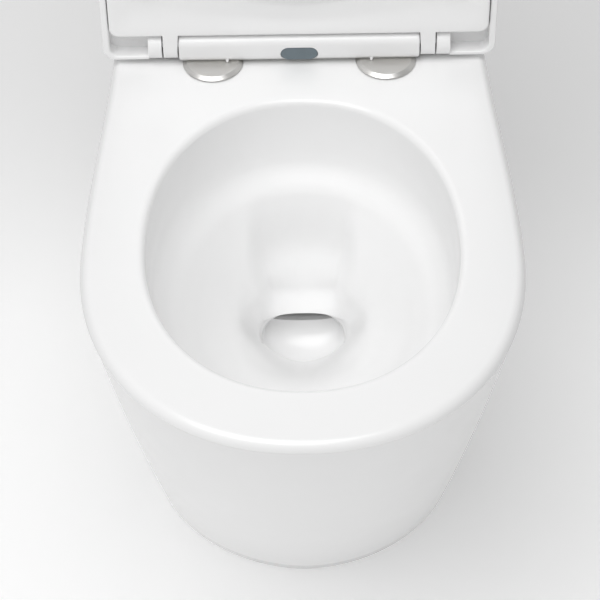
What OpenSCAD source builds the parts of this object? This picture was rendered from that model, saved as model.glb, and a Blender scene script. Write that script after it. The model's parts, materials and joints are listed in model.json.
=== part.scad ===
// Close coupled toilet: shrouded china pan, cistern with dual flush, soft-close seat and lid.
// Millimetres. X is to the right, the front faces -Y, +Z is up, the floor is z = 0.
// The seat and the lid are drawn closed and then turned up about the hinge axis.

/* [Pan] */
// Depth from the wall to the front of the rim
pan_d = 665; // [650:5:690]
// Height of the rim above the floor
rim_h = 400; // [390:5:420]
// Widest part of the rim
rim_w = 365; // [356:1:368]
// Width of the deck where it meets the wall
deck_w = 334; // [326:1:342]
// Width of the foot at its narrow middle
foot_w = 286; // [276:1:292]
// Width of the foot at the wall
foot_back_w = 316; // [306:1:322]
// How far the foot stops behind the front of the rim
toe_setback = 180; // [160:2:190]
// Thickness of the china walls
china_t = 12; // [10:1:14]
// Radius that rounds the outer edge of the rim
rim_roll = 9; // [6:1:11]

/* [Bowl] */
// Front of the rim to the line of the seat hinge holes
front_to_holes = 447; // [440:1:455]
// Half width of the bowl opening, at the start of its rounded edge
bowl_hw = 135.5; // [130:0.5:138]
// Radius that rounds the inner edge of the rim
inner_roll = 8; // [5:1:10]
// Outside diameter of the waste outlet
outlet_dia = 102; // [98:1:106]
// Height of the waste outlet's axis
outlet_h = 180; // [175:1:190]

/* [Cistern] */
// Width of the tank at its top
tank_w = 352; // [330:2:360]
// Height of the tank without its lid
tank_h = 381; // [360:1:400]
// Distance of the tank's front face from the wall
tank_front = 140.5; // [136:0.5:144]
// Thickness of the tank's walls
tank_t = 9; // [8:0.5:10]
// Travel of the flush buttons
button_travel = 6; // [4:0.5:6]

/* [Seat] */
// Spacing of the two seat hinge holes
hole_spacing = 155; // [150:1:160]
// Angle of the raised seat and lid, from closed
raised_angle = 94; // [90:1:96]
// Half width of the lid at the hinge
lid_hw = 175.2; // [173:0.2:177]
// Gap between the seat ring and the lid that wraps round it
nest_gap = 1.2; // [0.8:0.1:2]
// Width of the lid's rim
lid_wall = 6.2; // [5:0.2:7]
// Thickness of the seat ring
ring_t = 22; // [18:0.5:22]
// Half length of the hinge bar
bar_hl = 107.3; // [105:0.1:107.4]
// Outside diameter of the chrome hinge discs
disc_dia = 54; // [50:1:56]

/* [Hidden] */
$fn = 48;

// Main places, worked out from the driving sizes
y_front = -pan_d / 2;
y_back = pan_d / 2;
hinge_y = y_front + front_to_holes;
axis_set_back = 8;
axis_y = hinge_y + axis_set_back;
axis_z = rim_h + 17.5;
holes_back = hinge_y - y_back;
deck_t = 16;
cavity_top = rim_h - deck_t;

china = "#f4f4f2";
plastic = "#f1f1f0";
chrome = "#c9c9c6";
rubber = "#3b3b3b";
grey = "#6e7a80";
brass = "#c8a860";
steel = "#a9adb0";

// ---------- shapes that repeat ----------

// Smooth step from 0 to 1
function smooth(t) = let (u = min(max(t, 0), 1)) u * u * (3 - 2 * u);

// y of a place that is d in front of the hinge holes
function front_y(d) = hinge_y - d;

// Mirrors a half outline [x, d], given from the back centre to the front centre, into a ring
function whole(half, z) = concat(
  [for (p = half) [-p[0], front_y(p[1]), z]],
  [for (i = [len(half) - 2:-1:1]) [half[i][0], front_y(half[i][1]), z]]
);

// D outline: straight back with round corners, sides that widen, super-elliptic front
function d_ring(back, mid, front, hw_back, hw_mid, flare, corner, power, z) =
  let (
    corner_n = 4,
    side_n = 9,
    front_n = 16,
    start = back + corner,
    arc = [for (i = [0:corner_n]) let (a = 90 * i / corner_n)
      [hw_back - corner + corner * sin(a), start - corner * cos(a)]],
    side = [for (i = [1:side_n]) let (d = start + (mid - start) * i / side_n)
      [hw_back + (hw_mid - hw_back) * smooth((d - flare) / (mid - flare)), d]],
    bow = [for (i = [1:front_n]) let (a = 90 * i / front_n)
      [hw_mid * pow(cos(a), 2 / power), mid + (front - mid) * pow(sin(a), 2 / power)]]
  ) whole(concat([[0, back]], arc, side, bow), z);

// Egg outline: two super-elliptic halves that meet at the widest line
function egg_ring(back, mid, front, hw, power, z) =
  let (
    n = 12,
    rear = [for (i = [0:n]) let (a = 90 * i / n)
      [hw * pow(sin(a), 2 / power), mid - (mid - back) * pow(cos(a), 2 / power)]],
    bow = [for (i = [1:n]) let (a = 90 * i / n)
      [hw * pow(cos(a), 2 / power), mid + (front - mid) * pow(sin(a), 2 / power)]]
  ) whole(concat(rear, bow), z);

// Rounded rectangle, centred on x, from y0 to y1
function box_ring(hw, y0, y1, r, z) =
  let (
    n = 6,
    corners = [
      [hw - r, y1 - r, 0], [r - hw, y1 - r, 90], [r - hw, y0 + r, 180], [hw - r, y0 + r, 270]
    ]
  )
  [for (c = corners) for (i = [0:n]) let (a = c[2] + 90 * i / n)
    [c[0] + r * cos(a), c[1] + r * sin(a), z]];

// Ring of a bent tube in the plane x = 0: centre y and z, heading, half width, half height
function tube_ring(y, z, heading, rx, rn) =
  let (n = 24) [for (i = [0:n - 1]) let (a = -360 * i / n)
    [rx * cos(a), y - rn * sin(a) * sin(heading), z + rn * sin(a) * cos(heading)]];

function middle(ring) = [for (k = [0:2]) sum_axis(ring, k) / len(ring)];
function sum_axis(ring, k, i = 0) = i >= len(ring) ? 0 : ring[i][k] + sum_axis(ring, k, i + 1);

// Closed skin over a list of rings that have the same number of points
module loft(rings) {
  n = len(rings[0]);
  m = len(rings);
  points = concat([for (ring = rings) each ring], [middle(rings[0]), middle(rings[m - 1])]);
  sides = [for (k = [0:m - 2]) for (i = [0:n - 1]) let (j = (i + 1) % n)
    each [[k * n + i, (k + 1) * n + i, (k + 1) * n + j], [k * n + i, (k + 1) * n + j, k * n + j]]];
  bottom = [for (i = [0:n - 1]) [m * n, i, (i + 1) % n]];
  top = [for (i = [0:n - 1]) [m * n + 1, (m - 1) * n + (i + 1) % n, (m - 1) * n + i]];
  polyhedron(points, concat(sides, bottom, top));
}

// Flat ring or washer standing on z0
module washer(r_in, r_out, z0, z1) {
  translate([0, 0, z0]) difference() {
    cylinder(r = r_out, h = z1 - z0);
    translate([0, 0, -1]) cylinder(r = r_in, h = z1 - z0 + 2);
  }
}

// Upright rod or disc between two heights
module rod(r, z0, z1) {
  translate([0, 0, z0]) cylinder(r = r, h = z1 - z0);
}

// Rod along X between two places
module rod_x(r, x0, x1) {
  translate([x0, 0, 0]) rotate([0, 90, 0]) cylinder(r = r, h = x1 - x0);
}

// Rod along Y between two places
module rod_y(r, y0, y1) {
  translate([0, y0, 0]) rotate([-90, 0, 0]) cylinder(r = r, h = y1 - y0);
}

// Coil spring on z, drawn at its free length
module coil(r, wire, z0, z1, turns) {
  sides = 6;
  per_turn = 10;
  steps = turns * per_turn;
  climb = z1 - z0 - 2 * wire;
  rings = [for (s = [0:steps]) let (a = 360 * s / per_turn, z = z0 + wire + climb * s / steps)
    [for (i = [0:sides - 1]) let (b = 360 * i / sides)
      [(r + wire * cos(b)) * cos(a), (r + wire * cos(b)) * sin(a), z + wire * sin(b)]]];
  loft(rings);
}

module both_sides() {
  children();
  mirror([1, 0, 0]) children();
}

// Turns a closed seat part up about the hinge axis
module raised() {
  translate([0, axis_y, axis_z]) rotate([-raised_angle, 0, 0])
    translate([0, -axis_y, -axis_z]) children();
}

// ---------- china pan ----------
rim_mid = 240; // widest line of the rim, in front of the hinge holes
toe_mid = 140; // the same for the foot
belly = 0.04; // how far the wall bulges half way up, as a share of its lean
widening = -60; // where the sides start to widen
bowl_mid = 225;
bowl_back = 47;
bowl_front = 394.5;
bowl_power = 2.15;
hole_r = 7;
bolt_x = 78;
bolt_y = y_back - 70.5;
inlet_y = bolt_y;
fill_x = -125;
bracket_y = y_back - 152;
bracket_z = 45;
outlet_end = y_back - 32.5;

// Outline of the outer wall at height u from 0 at the floor to 1 at the rim, drawn in by inset.
// The wall leans out almost straight, with a slight belly half way up.
function wall_ring(u, inset, z) =
  let (
    t = u + 4 * belly * u * (1 - u),
    toe = front_to_holes - toe_setback,
    mid = toe_mid + (rim_mid - toe_mid) * t,
    front = toe + (front_to_holes - toe) * t - inset,
    hw_back = (foot_back_w + (deck_w - foot_back_w) * t) / 2 - inset,
    hw_mid = (foot_w + (rim_w - foot_w) * t) / 2 - inset
  ) d_ring(holes_back, mid, front, hw_back, hw_mid, widening, 6, 1.87 + 0.28 * t, z);

module outer_wall() {
  roll = [for (a = [0:22.5:90]) [rim_roll * (1 - cos(a)), rim_h - rim_roll * (1 - sin(a))]];
  loft(concat(
    [for (t = [0:0.2:0.8]) wall_ring(t, 0, t * rim_h)],
    [for (p = roll) wall_ring(1, p[0], p[1])]
  ));
}

module shroud_cavity() {
  hw_extra = china_t + 1;
  top = cavity_top / rim_h;
  loft(concat(
    [wall_cut(0, hw_extra, -1)],
    [for (t = [0.25:0.25:1]) wall_cut(t * top, hw_extra, t * cavity_top)]
  ));
}

// Like wall_ring, but open through the back of the pan
function wall_cut(t, inset, z) = [for (p = wall_ring(t, inset, z))
  p[1] > y_back - 8 ? [p[0], y_back + 5, z] : p];

// Bowl sections: depth below the rim, back, widest line, front, half width, power
bowl_sections = [
  [8, 55, 225, 386.5, 127.5, 2.15],
  [14, 56, 225, 386, 127.2, 2.15],
  [20, 48, 225, 385, 126.5, 2.15],
  [45, 49, 225, 383, 125, 2.15],
  [65, 54, 224, 376, 121, 2.15],
  [82, 62, 220, 362, 113, 2.15],
  [97, 71, 213, 342, 103, 2.1],
  [120, 81, 198, 305, 87, 2.1],
  [150, 90, 177, 256, 69, 2.05],
  [180, 97, 160, 213, 54, 2],
  [205, 101, 147, 181, 45, 2],
  [222, 103, 140, 165, 41, 2],
  [240, 106, 138, 160, 38, 2],
  [262, 114, 137, 152, 28, 2]
];

// Outline of the bowl's mouth, drawn in by inset
function mouth_ring(inset, z) =
  egg_ring(bowl_back + inset, bowl_mid, bowl_front - inset, bowl_hw - inset, bowl_power, z);

// Bowl section grown by g all round
function bowl_ring(s, g) = egg_ring(s[1] - g, s[2], s[3] + g, s[4] + g, s[5], rim_h - s[0] - g);

module bowl_inside() {
  roll = [for (a = [67.5:-22.5:0]) [inner_roll * sin(a), inner_roll * (1 - cos(a))]];
  loft(concat(
    [for (i = [len(bowl_sections) - 1:-1:0]) bowl_ring(bowl_sections[i], 0)],
    [for (p = roll) mouth_ring(p[0], rim_h - p[1])],
    [mouth_ring(-1, rim_h + 1)]
  ));
}

module bowl_outside() {
  last = len(bowl_sections) - 1;
  loft(concat(
    [for (i = [last:-2:3]) bowl_ring(bowl_sections[i], china_t - 1)],
    [mouth_ring(-3.5, cavity_top + 2)]
  ));
}

// Trapway centre line: y, z, heading, half width, half height of the passage
trap_path = [
  [-30, 158, 0, 28, 18],
  [5, 160, 5, 34, 24],
  [35, 168, 35, 36, 29],
  [58, 195, 65, 36, 31],
  [72, 228, 70, 35, 31],
  [92, 256, 30, 35, 30],
  [118, 258, -15, 36, 31],
  [142, 238, -60, 38, 34],
  [155, 208, -60, 40, 37],
  [178, 184, -20, 42.5, 42],
  [205, outlet_h, 0, 42.6, 42.6],
  [222, outlet_h, 0, 42.6, 42.6]
];

module trap_inside() {
  loft([for (p = trap_path) tube_ring(p[0], p[1], p[2], p[3], p[4])]);
}

module trap_outside() {
  wall = 10;
  stops = [1, 3, 5, 6, 8, 10];
  for (k = [0:len(stops) - 2]) hull() {
    for (s = [stops[k], stops[k + 1]]) let (p = trap_path[s])
      translate([0, p[0], p[1]]) sphere(r = p[3] + wall, $fn = 20);
  }
}

duct_hw = 35;
duct_z0 = rim_h - 50;
duct_z1 = rim_h - 18;

module inlet_outside() {
  wall = 9;
  translate([-duct_hw - wall, front_y(45), duct_z0 - wall])
    cube([2 * (duct_hw + wall), inlet_y - front_y(45), duct_z1 - duct_z0 + wall + 6]);
  translate([0, inlet_y, duct_z0 - wall]) cylinder(r = 60, h = rim_h - duct_z0 + wall - 6);
}

module inlet_inside() {
  translate([-duct_hw, front_y(38), duct_z0])
    cube([2 * duct_hw, inlet_y - front_y(38), duct_z1 - duct_z0]);
  translate([-duct_hw - 8, front_y(52), duct_z1 - 9])
    cube([2 * (duct_hw + 8), front_y(32) - front_y(52), 9]);
  translate([0, inlet_y, duct_z0]) cylinder(r = 35, h = rim_h);
  translate([0, inlet_y, rim_h - 22]) cylinder(r = 51, h = 50);
}

module pan_holes() {
  both_sides() {
    translate([hole_spacing / 2, hinge_y, cavity_top - 5]) cylinder(r = hole_r, h = 40);
    translate([bolt_x, bolt_y, cavity_top - 5]) cylinder(r = 8, h = 40);
    translate([0, bracket_y, bracket_z]) rod_x(5.5, foot_w / 2 - 20, foot_back_w / 2 + 10);
  }
  translate([fill_x, bolt_y, cavity_top - 5]) cylinder(r = 21, h = 40);
}

module pan() {
  collar_start = 196;
  spigot_start = 226;
  collar_r = outlet_dia / 2 + 3;
  color(china) difference() {
    union() {
      resize([rim_w, pan_d, rim_h]) difference() {
        union() {
          difference() {
            outer_wall();
            shroud_cavity();
          }
          intersection() {
            union() {
              bowl_outside();
              trap_outside();
              inlet_outside();
            }
            outer_wall();
          }
        }
        bowl_inside();
        trap_inside();
        inlet_inside();
        pan_holes();
      }
      translate([0, 0, outlet_h]) {
        rod_y(collar_r, collar_start, spigot_start);
        rod_y(outlet_dia / 2, spigot_start, outlet_end);
      }
    }
    translate([0, 0, outlet_h]) rod_y(outlet_dia / 2 - 8, collar_start + 6, outlet_end + 1);
  }
}

// ---------- cistern ----------
tank_z0 = rim_h + 4;
tank_z1 = tank_z0 + tank_h;
tank_y1 = y_back - 2.5;
tank_y0 = y_back - tank_front;
floor_z = tank_z0 + tank_t;

module cistern_tank() {
  hw = tank_w / 2;
  base_hw = hw - 7;
  t = tank_t;
  color(china) difference() {
    loft([
      box_ring(base_hw - 5, tank_y0 + 9, tank_y1 - 5, 16, tank_z0),
      box_ring(base_hw, tank_y0 + 4, tank_y1, 20, tank_z0 + 6),
      box_ring(hw, tank_y0, tank_y1, 20, tank_z1)
    ]);
    loft([
      box_ring(base_hw - t, tank_y0 + 4 + t, tank_y1 - t, 12, floor_z),
      box_ring(hw - t, tank_y0 + t, tank_y1 - t, 12, tank_z1 + 1)
    ]);
    translate([0, inlet_y, tank_z0 - 1]) cylinder(r = 32.5, h = 20);
    translate([fill_x, bolt_y, tank_z0 - 1]) cylinder(r = 11.2, h = 20);
    both_sides() translate([bolt_x, bolt_y, tank_z0 - 1]) cylinder(r = 6, h = 20);
  }
}

lid_z0 = tank_z1 + 0.3;
lid_top = tank_z1 + 32;
lid_plate = lid_top - 10;

module cistern_lid() {
  hw = tank_w / 2 + 3.5;
  y0 = tank_y0 - 4;
  y1 = tank_y1 + 1;
  t = 8;
  roll = 7;
  color(china) difference() {
    loft(concat(
      [box_ring(hw - 2, y0 + 2, y1 - 1, 20, lid_z0)],
      [for (a = [0:22.5:90]) let (in = roll * (1 - cos(a)))
        box_ring(hw - in, y0 + in, y1 - in, 22 - in, lid_top - roll * (1 - sin(a)))]
    ));
    loft([
      box_ring(hw - t, y0 + t, y1 - t, 14, lid_z0 - 1),
      box_ring(hw - t, y0 + t, y1 - t, 14, lid_plate)
    ]);
    translate([0, inlet_y, lid_plate - 5]) cylinder(r = 25, h = 40);
  }
}

module coupling_gasket() {
  color(rubber) translate([0, inlet_y, 0]) washer(42.6, 50, rim_h - 21.8, tank_z0 - 0.1);
}

module cistern_bolts() {
  color(brass) both_sides() translate([bolt_x, bolt_y, 0]) {
    rod(4, rim_h - 55, floor_z + 7);
    difference() {
      rod(9, floor_z + 5, floor_z + 11);
      translate([-10, -1, floor_z + 9]) cube([20, 2, 3]);
    }
  }
}

module cistern_bolt_washers() {
  color(rubber) both_sides() translate([bolt_x, bolt_y, 0]) washer(4, 14, floor_z, floor_z + 5);
}

module cistern_bolt_plates() {
  color(steel) both_sides() translate([bolt_x, bolt_y, 0])
    washer(4, 14, cavity_top - 3, cavity_top);
}

module cistern_wing_nuts() {
  z1 = cavity_top - 3;
  color(brass) both_sides() translate([bolt_x, bolt_y, 0]) {
    washer(4, 8, z1 - 10, z1);
    for (s = [-1, 1]) translate([-1.5, s > 0 ? 7.5 : -16, z1 - 16]) cube([3, 8.5, 14]);
  }
}

// ---------- flush valve ----------
seat_z = floor_z + 15;
tower_z = 640;
lever_z = 684;
lever_x = 28;
push_x = 11;
lever_arm = lever_x - push_x;
lever_half_t = 2.5;

module flush_valve_body() {
  color("#e8e8e6") translate([0, inlet_y, 0]) {
    difference() {
      union() {
        rod(30, rim_h - 48, floor_z + 5);
        rod(41, floor_z + 4, floor_z + 10);
        rod(28, floor_z + 9, seat_z);
      }
      rod(24, rim_h - 49, seat_z + 1);
    }
    for (a = [45:90:315]) rotate([0, 0, a]) translate([34, 0, 0]) rod(3, floor_z + 9, tower_z + 1);
    difference() {
      union() {
        rod(38, tower_z, tower_z + 4);
        for (s = [-1, 1]) translate([-38, s * 18 - 2, tower_z])
          cube([76, 4, lever_z + 10 - tower_z]);
      }
      rod(14.6, tower_z - 1, tower_z + 5);
      for (s = [-1, 1]) translate([s * lever_x, 0, lever_z]) rod_y(2, -25, 25);
    }
  }
}

module flush_valve_washer() {
  color(rubber) translate([0, inlet_y, 0]) washer(30, 41, floor_z, floor_z + 4);
}

module flush_valve_nut() {
  color("#e8e8e6") translate([0, inlet_y, 0]) difference() {
    rod(41, tank_z0 - 16, tank_z0);
    rod(30, tank_z0 - 17, tank_z0 + 1);
    for (a = [0:45:315]) rotate([0, 0, a]) translate([41, 0, 0]) rod(3, tank_z0 - 17, tank_z0 + 1);
  }
}

// Rocker: its inner end is pushed down by a rod and its outer end rises
module flush_lever(side) {
  color("#3f6fb0") translate([0, inlet_y, 0]) difference() {
    union() {
      translate([side > 0 ? 5 : -46, -6, lever_z - lever_half_t]) cube([41, 12, 2 * lever_half_t]);
      translate([side * lever_x, 0, lever_z]) rod_y(5, -6, 6);
    }
    translate([side * lever_x, 0, lever_z]) rod_y(2.05, -7, 7);
  }
}

module full_flush_lever() {
  flush_lever(1);
}

module half_flush_lever() {
  flush_lever(-1);
}

module lever_pins() {
  color(steel) translate([0, inlet_y, lever_z]) both_sides() translate([lever_x, 0, 0])
    rod_y(2, -20, 20);
}

module flush_tube() {
  hook_z = lever_z + lever_half_t + 1;
  color("#e8e8e6") translate([0, inlet_y, 0]) {
    difference() {
      union() {
        rod(14, seat_z + 4, 662);
        rod(22, seat_z + 4, seat_z + 8);
        translate([12, -3, 648]) cube([40, 6, 6]);
      }
      rod(12, seat_z + 3, 663);
    }
    translate([48, -3, 648]) cube([4, 6, hook_z + 6 - 648]);
    translate([40, -3, hook_z]) cube([12, 6, 6]);
  }
}

module flush_seal() {
  color(rubber) translate([0, inlet_y, 0]) washer(12, 28, seat_z + 0.2, seat_z + 4);
}

module flush_rod(side) {
  color("#3f6fb0") translate([side * push_x, inlet_y, 0])
    rod(3, lever_z + lever_half_t + 1.6, button_z0);
}

module full_flush_rod() {
  flush_rod(1);
}

module half_flush_rod() {
  flush_rod(-1);
}

// ---------- flush buttons ----------
bezel_z1 = lid_top + 4;
button_z1 = bezel_z1 + 1.5;
button_z0 = button_z1 - 8.5;
web_z = lid_top - 37;
bezel_in = 21.8;

module button_bezel() {
  color(chrome) translate([0, inlet_y, 0]) difference() {
    union() {
      rod(24, web_z, bezel_z1);
      translate([0, 0, lid_top]) cylinder(r1 = 37, r2 = 35, h = 4);
    }
    rod(bezel_in, web_z + 3, bezel_z1 + 1);
    for (s = [-1, 1]) translate([s * push_x, 0, 0]) rod(3.4, web_z - 1, web_z + 4);
  }
}

module bezel_nut() {
  color("#e8e8e6") translate([0, inlet_y, 0]) washer(24, 33, lid_plate - 10, lid_plate);
}

button_split = -3;

module button_cap(x0, x1) {
  intersection() {
    rod(bezel_in - 0.5, button_z0, button_z1);
    translate([x0, -30, button_z0 - 1]) cube([x1 - x0, 60, 20]);
  }
}

module flush_button_full() {
  color(chrome) translate([0, inlet_y, 0]) button_cap(button_split + 0.3, 30);
}

module flush_button_half() {
  color(chrome) translate([0, inlet_y, 0]) button_cap(-30, button_split - 0.3);
}

module button_spring(side) {
  color(steel) translate([side * push_x, inlet_y, 0])
    coil(4.6, 0.5, web_z + 3 + button_travel + 0.5, button_z0 - 0.1, 5);
}

module full_button_spring() {
  button_spring(1);
}

module half_button_spring() {
  button_spring(-1);
}

// ---------- fill valve ----------
thread_r = 10.48;
shank_r = 10.9;
thread_z1 = tank_z0 - 9.5;
shank_z0 = rim_h - 52;
arm_z = 672;
arm_pivot = 12;
arm_r = 36;
float_z = 540;

module at_fill() {
  translate([fill_x, bolt_y, 0]) children();
}

module fill_valve_body() {
  color("#e8e8e6") at_fill() difference() {
    union() {
      rod(thread_r, shank_z0, thread_z1);
      rod(shank_r, thread_z1, floor_z + 8);
      rod(17, floor_z + 3, floor_z + 8);
      rod(11, floor_z + 7, 640);
      rod(16, 636, 660);
      for (s = [-1, 1]) translate([arm_pivot - 6, s * 7 - 1.5, 655]) cube([12, 3, 25]);
    }
    rod(6, shank_z0 - 1, 640);
    translate([arm_pivot, 0, arm_z]) rod_y(1.5, -12, 12);
  }
}

module fill_valve_washer() {
  color(rubber) at_fill() washer(shank_r, 17, floor_z, floor_z + 3);
}

module fill_valve_nut() {
  color("#e8e8e6") at_fill() difference() {
    translate([0, 0, tank_z0 - 9]) cylinder(r = 17.5, h = 9, $fn = 6);
    rod(shank_r, tank_z0 - 10, tank_z0 + 1);
  }
}

module float_cup() {
  color("#f2f2f0") at_fill() difference() {
    rod(28, float_z, float_z + 80);
    rod(11.5, float_z - 1, float_z + 81);
    washer(14, 26, float_z - 1, float_z + 77);
  }
}

module float_link() {
  color(steel) at_fill() translate([arm_pivot - arm_r, 0, 0]) rod(1.5, float_z + 80, arm_z - 3.8);
}

module float_arm() {
  color("#3f6fb0") at_fill() difference() {
    union() {
      translate([arm_pivot - arm_r - 4, -4, arm_z - 3]) cube([arm_r + 4, 8, 6]);
      translate([arm_pivot, 0, arm_z]) rod_y(5, -4, 4);
    }
    translate([arm_pivot, 0, arm_z]) rod_y(1.55, -5, 5);
  }
}

module float_arm_pin() {
  color(steel) at_fill() translate([arm_pivot, 0, arm_z]) rod_y(1.5, -8.5, 8.5);
}

// ---------- seat hinge fixings ----------
disc_z0 = rim_h + 0.8;
disc_z1 = rim_h + 4.2;
stud_z0 = rim_h - 55;

module at_holes() {
  both_sides() translate([hole_spacing / 2, hinge_y, 0]) children();
}

module hinge_gaskets() {
  color(rubber) at_holes() washer(4, disc_dia / 2 - 2, rim_h, disc_z0);
}

module hinge_discs() {
  r = disc_dia / 2;
  color(chrome) at_holes() rotate_extrude() polygon([
    [0, disc_z0], [r, disc_z0], [r, disc_z0 + 1.2], [r - 3.2, disc_z1 - 0.4], [r - 3.6, disc_z1],
    [0, disc_z1]
  ]);
}

module hinge_posts() {
  color(steel) both_sides() translate([hole_spacing / 2, axis_y, 0]) {
    rod(3.5, disc_z1, rim_h + 8.7);
    rod(5, rim_h + 8.6, rim_h + 11);
  }
}

module hinge_studs() {
  color(steel) at_holes() rod(4, stud_z0, disc_z0);
}

module hinge_washers() {
  color(rubber) at_holes() washer(4, 13, cavity_top - 3, cavity_top);
}

module hinge_nuts() {
  z1 = cavity_top - 3;
  color("#e8e8e6") at_holes() {
    washer(4, 9, z1 - 12, z1);
    for (s = [-1, 1]) translate([s > 0 ? 8.5 : -15.5, -1.5, z1 - 12]) cube([7, 3, 11]);
  }
}

// ---------- hinge bar with quick release ----------
bar_half = 13;
bar_r = 8;
bar_wall = 2.5;
pill_z = rim_h + 13.5;
pill_hw = 16.5;
pill_hh = 7;
plate_z0 = rim_h + 4.5;
plate_z1 = rim_h + 6.3;
latch_z0 = rim_h + 6.5;
latch_z1 = rim_h + 8.2;
latch_hw = 7;
slot_r = 5.4;
release_travel = 3;
shaft_r = 3.5;
run = 0.06;
barrel_r = 6;
shaft_in = 72;
lug_out = 134.5;

// Square with round corners, as a closed list of points
function soft_square(half, r) =
  let (corners = [[1, 1], [-1, 1], [-1, -1], [1, -1]])
  [for (q = [0:3]) for (i = [0:6]) let (a = 90 * q + 15 * i)
    corners[q] * (half - r) + r * [cos(a), sin(a)]];

// Bar profile carried along X from x0 to x1
module along_x(x0, x1) {
  translate([x0, axis_y, axis_z]) rotate([90, 0, 90]) linear_extrude(x1 - x0) children();
}

// Pill shape standing in the XZ plane, from y0 to y1
module pill(hw, hh, y0, y1) {
  translate([0, 0, pill_z]) {
    for (s = [-1, 1]) translate([s * (hw - hh), 0, 0]) rod_y(hh, y0, y1);
    translate([hh - hw, y0, -hh]) cube([2 * (hw - hh), y1 - y0, 2 * hh]);
  }
}

module hinge_bar_shell() {
  bar_front = axis_y - bar_half;
  color(plastic) difference() {
    along_x(-bar_hl, bar_hl) polygon(soft_square(bar_half, bar_r));
    along_x(bar_wall - bar_hl, bar_hl - bar_wall)
      polygon(soft_square(bar_half - bar_wall, bar_r - bar_wall));
    translate([bar_wall - bar_hl, axis_y - 9, rim_h]) cube([2 * (bar_hl - bar_wall), 18, 10]);
    pill(pill_hw + 0.3, pill_hh + 0.3, bar_front - 1, bar_front + bar_wall + 2);
    translate([0, axis_y, axis_z]) rod_x(shaft_r + 0.4, -bar_hl - 1, bar_hl + 1);
  }
}

module hinge_bar_base() {
  hl = bar_hl - bar_wall - 0.3;
  color("#e8e8e6") difference() {
    translate([-hl, axis_y - 8.8, plate_z0]) cube([2 * hl, 17.6, plate_z1 - plate_z0]);
    both_sides() translate([hole_spacing / 2, axis_y, plate_z0 - 1]) cylinder(r = slot_r, h = 5);
  }
}

// Plate that slides outwards; its slot passes the head of the post
module latch(side) {
  x_in = 12.5;
  x_out = 95;
  y0 = axis_y - latch_hw;
  y1 = axis_y + latch_hw;
  slope = 8.5;
  color(steel) mirror([side > 0 ? 0 : 1, 0, 0]) difference() {
    translate([0, 0, latch_z0]) linear_extrude(latch_z1 - latch_z0) polygon([
      [x_in + slope, y0], [x_out, y0], [x_out, y1], [x_in, y1], [x_in, y0 + slope]
    ]);
    translate([hole_spacing / 2, axis_y, latch_z0 - 1]) {
      cylinder(r = slot_r, h = 4);
      translate([-release_travel, 0, 0]) cylinder(r = slot_r, h = 4);
      translate([-release_travel, -slot_r, 0]) cube([release_travel, 2 * slot_r, 4]);
    }
  }
}

module latch_left() {
  latch(-1);
}

module latch_right() {
  latch(1);
}

module release_button() {
  y0 = axis_y - bar_half + 0.3;
  wedge_y0 = axis_y - latch_hw;
  color(grey) {
    pill(pill_hw, pill_hh, y0, y0 + 5);
    translate([0, 0, latch_z0 + 0.1]) linear_extrude(latch_z1 - latch_z0 - 0.2) polygon([
      [-12, y0 + 2], [12, y0 + 2], [12, wedge_y0 - 2], [20, wedge_y0 + 0.5],
      [12, wedge_y0 + 8.5], [-12, wedge_y0 + 8.5], [-20, wedge_y0 + 0.5], [-12, wedge_y0 - 2]
    ]);
  }
}

module release_spring() {
  y0 = axis_y - bar_half + 5.4;
  color(steel) translate([0, y0, pill_z + 2]) rotate([-90, 0, 0]) coil(3.2, 0.4, 0, 11.5, 4);
}

module damper(x0, x1) {
  color("#d8d8d6") translate([0, axis_y, axis_z]) difference() {
    rod_x(barrel_r, x0, x1);
    rod_x(shaft_r + run, x0 > 0 ? shaft_in - 1 : x0 - 1, x0 > 0 ? x1 + 1 : 1 - shaft_in);
  }
}

module seat_damper() {
  damper(60, bar_hl - bar_wall - 0.2);
}

module lid_damper() {
  damper(bar_wall + 0.2 - bar_hl, -60);
}

module seat_hinge_shaft() {
  color(steel) translate([0, axis_y, axis_z]) rod_x(shaft_r, shaft_in, lug_out - 0.5);
}

module lid_hinge_shaft() {
  color(steel) translate([0, axis_y, axis_z]) rod_x(shaft_r, 0.5 - lug_out, -shaft_in);
}

// ---------- seat ring ----------
ring_hw = lid_hw - lid_wall - nest_gap;
flare_w = 9;
ring_z0 = rim_h + 5;
ring_z1 = ring_z0 + ring_t;
ring_back = 7.5;
ring_front = front_to_holes - 1;
leg_x0 = 108.5;
leg_x1 = 121;
lug_in = 122.5;

// Outline of the seat ring, drawn in by inset
function seat_ring_line(inset, z) = d_ring(ring_back + inset, rim_mid, ring_front - inset,
  ring_hw - inset, ring_hw + flare_w - inset, 60, 8, 2.15, z);

function seat_hole_line(grow, z) = egg_ring(49 - grow, 205, 372 + grow, 117 + grow, 2.15, z);

module ring_solid() {
  soft = 5;
  curve = [for (a = [0:30:90]) [soft * (1 - cos(a)), soft * (1 - sin(a))]];
  difference() {
    loft(concat(
      [seat_ring_line(2, ring_z0), seat_ring_line(0, ring_z0 + 2)],
      [for (p = curve) seat_ring_line(p[0], ring_z1 - p[1])]
    ));
    loft(concat(
      [seat_hole_line(1, ring_z0 - 1), seat_hole_line(0, ring_z0 + 2)],
      [for (p = curve) seat_hole_line(p[0], ring_z1 - p[1])],
      [seat_hole_line(soft + 1, ring_z1 + 1)]
    ));
  }
}

// Arm of the ring that holds the hinge shaft; bore is the radius of its hole
module seat_leg(x0, bore) {
  width = leg_x1 - leg_x0;
  translate([x0, axis_y, axis_z]) difference() {
    union() {
      rod_x(bar_half, 0, width);
      translate([0, -28, -9]) cube([width, 28, 15]);
    }
    rod_x(bore, -1, width + 1);
  }
}

module seat_ring() {
  size_x = 2 * (ring_hw + flare_w);
  color(plastic) raised() {
    resize([size_x, ring_front - ring_back, ring_t]) ring_solid();
    seat_leg(leg_x0, shaft_r);
    seat_leg(-leg_x1, shaft_r + run);
  }
}

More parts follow.
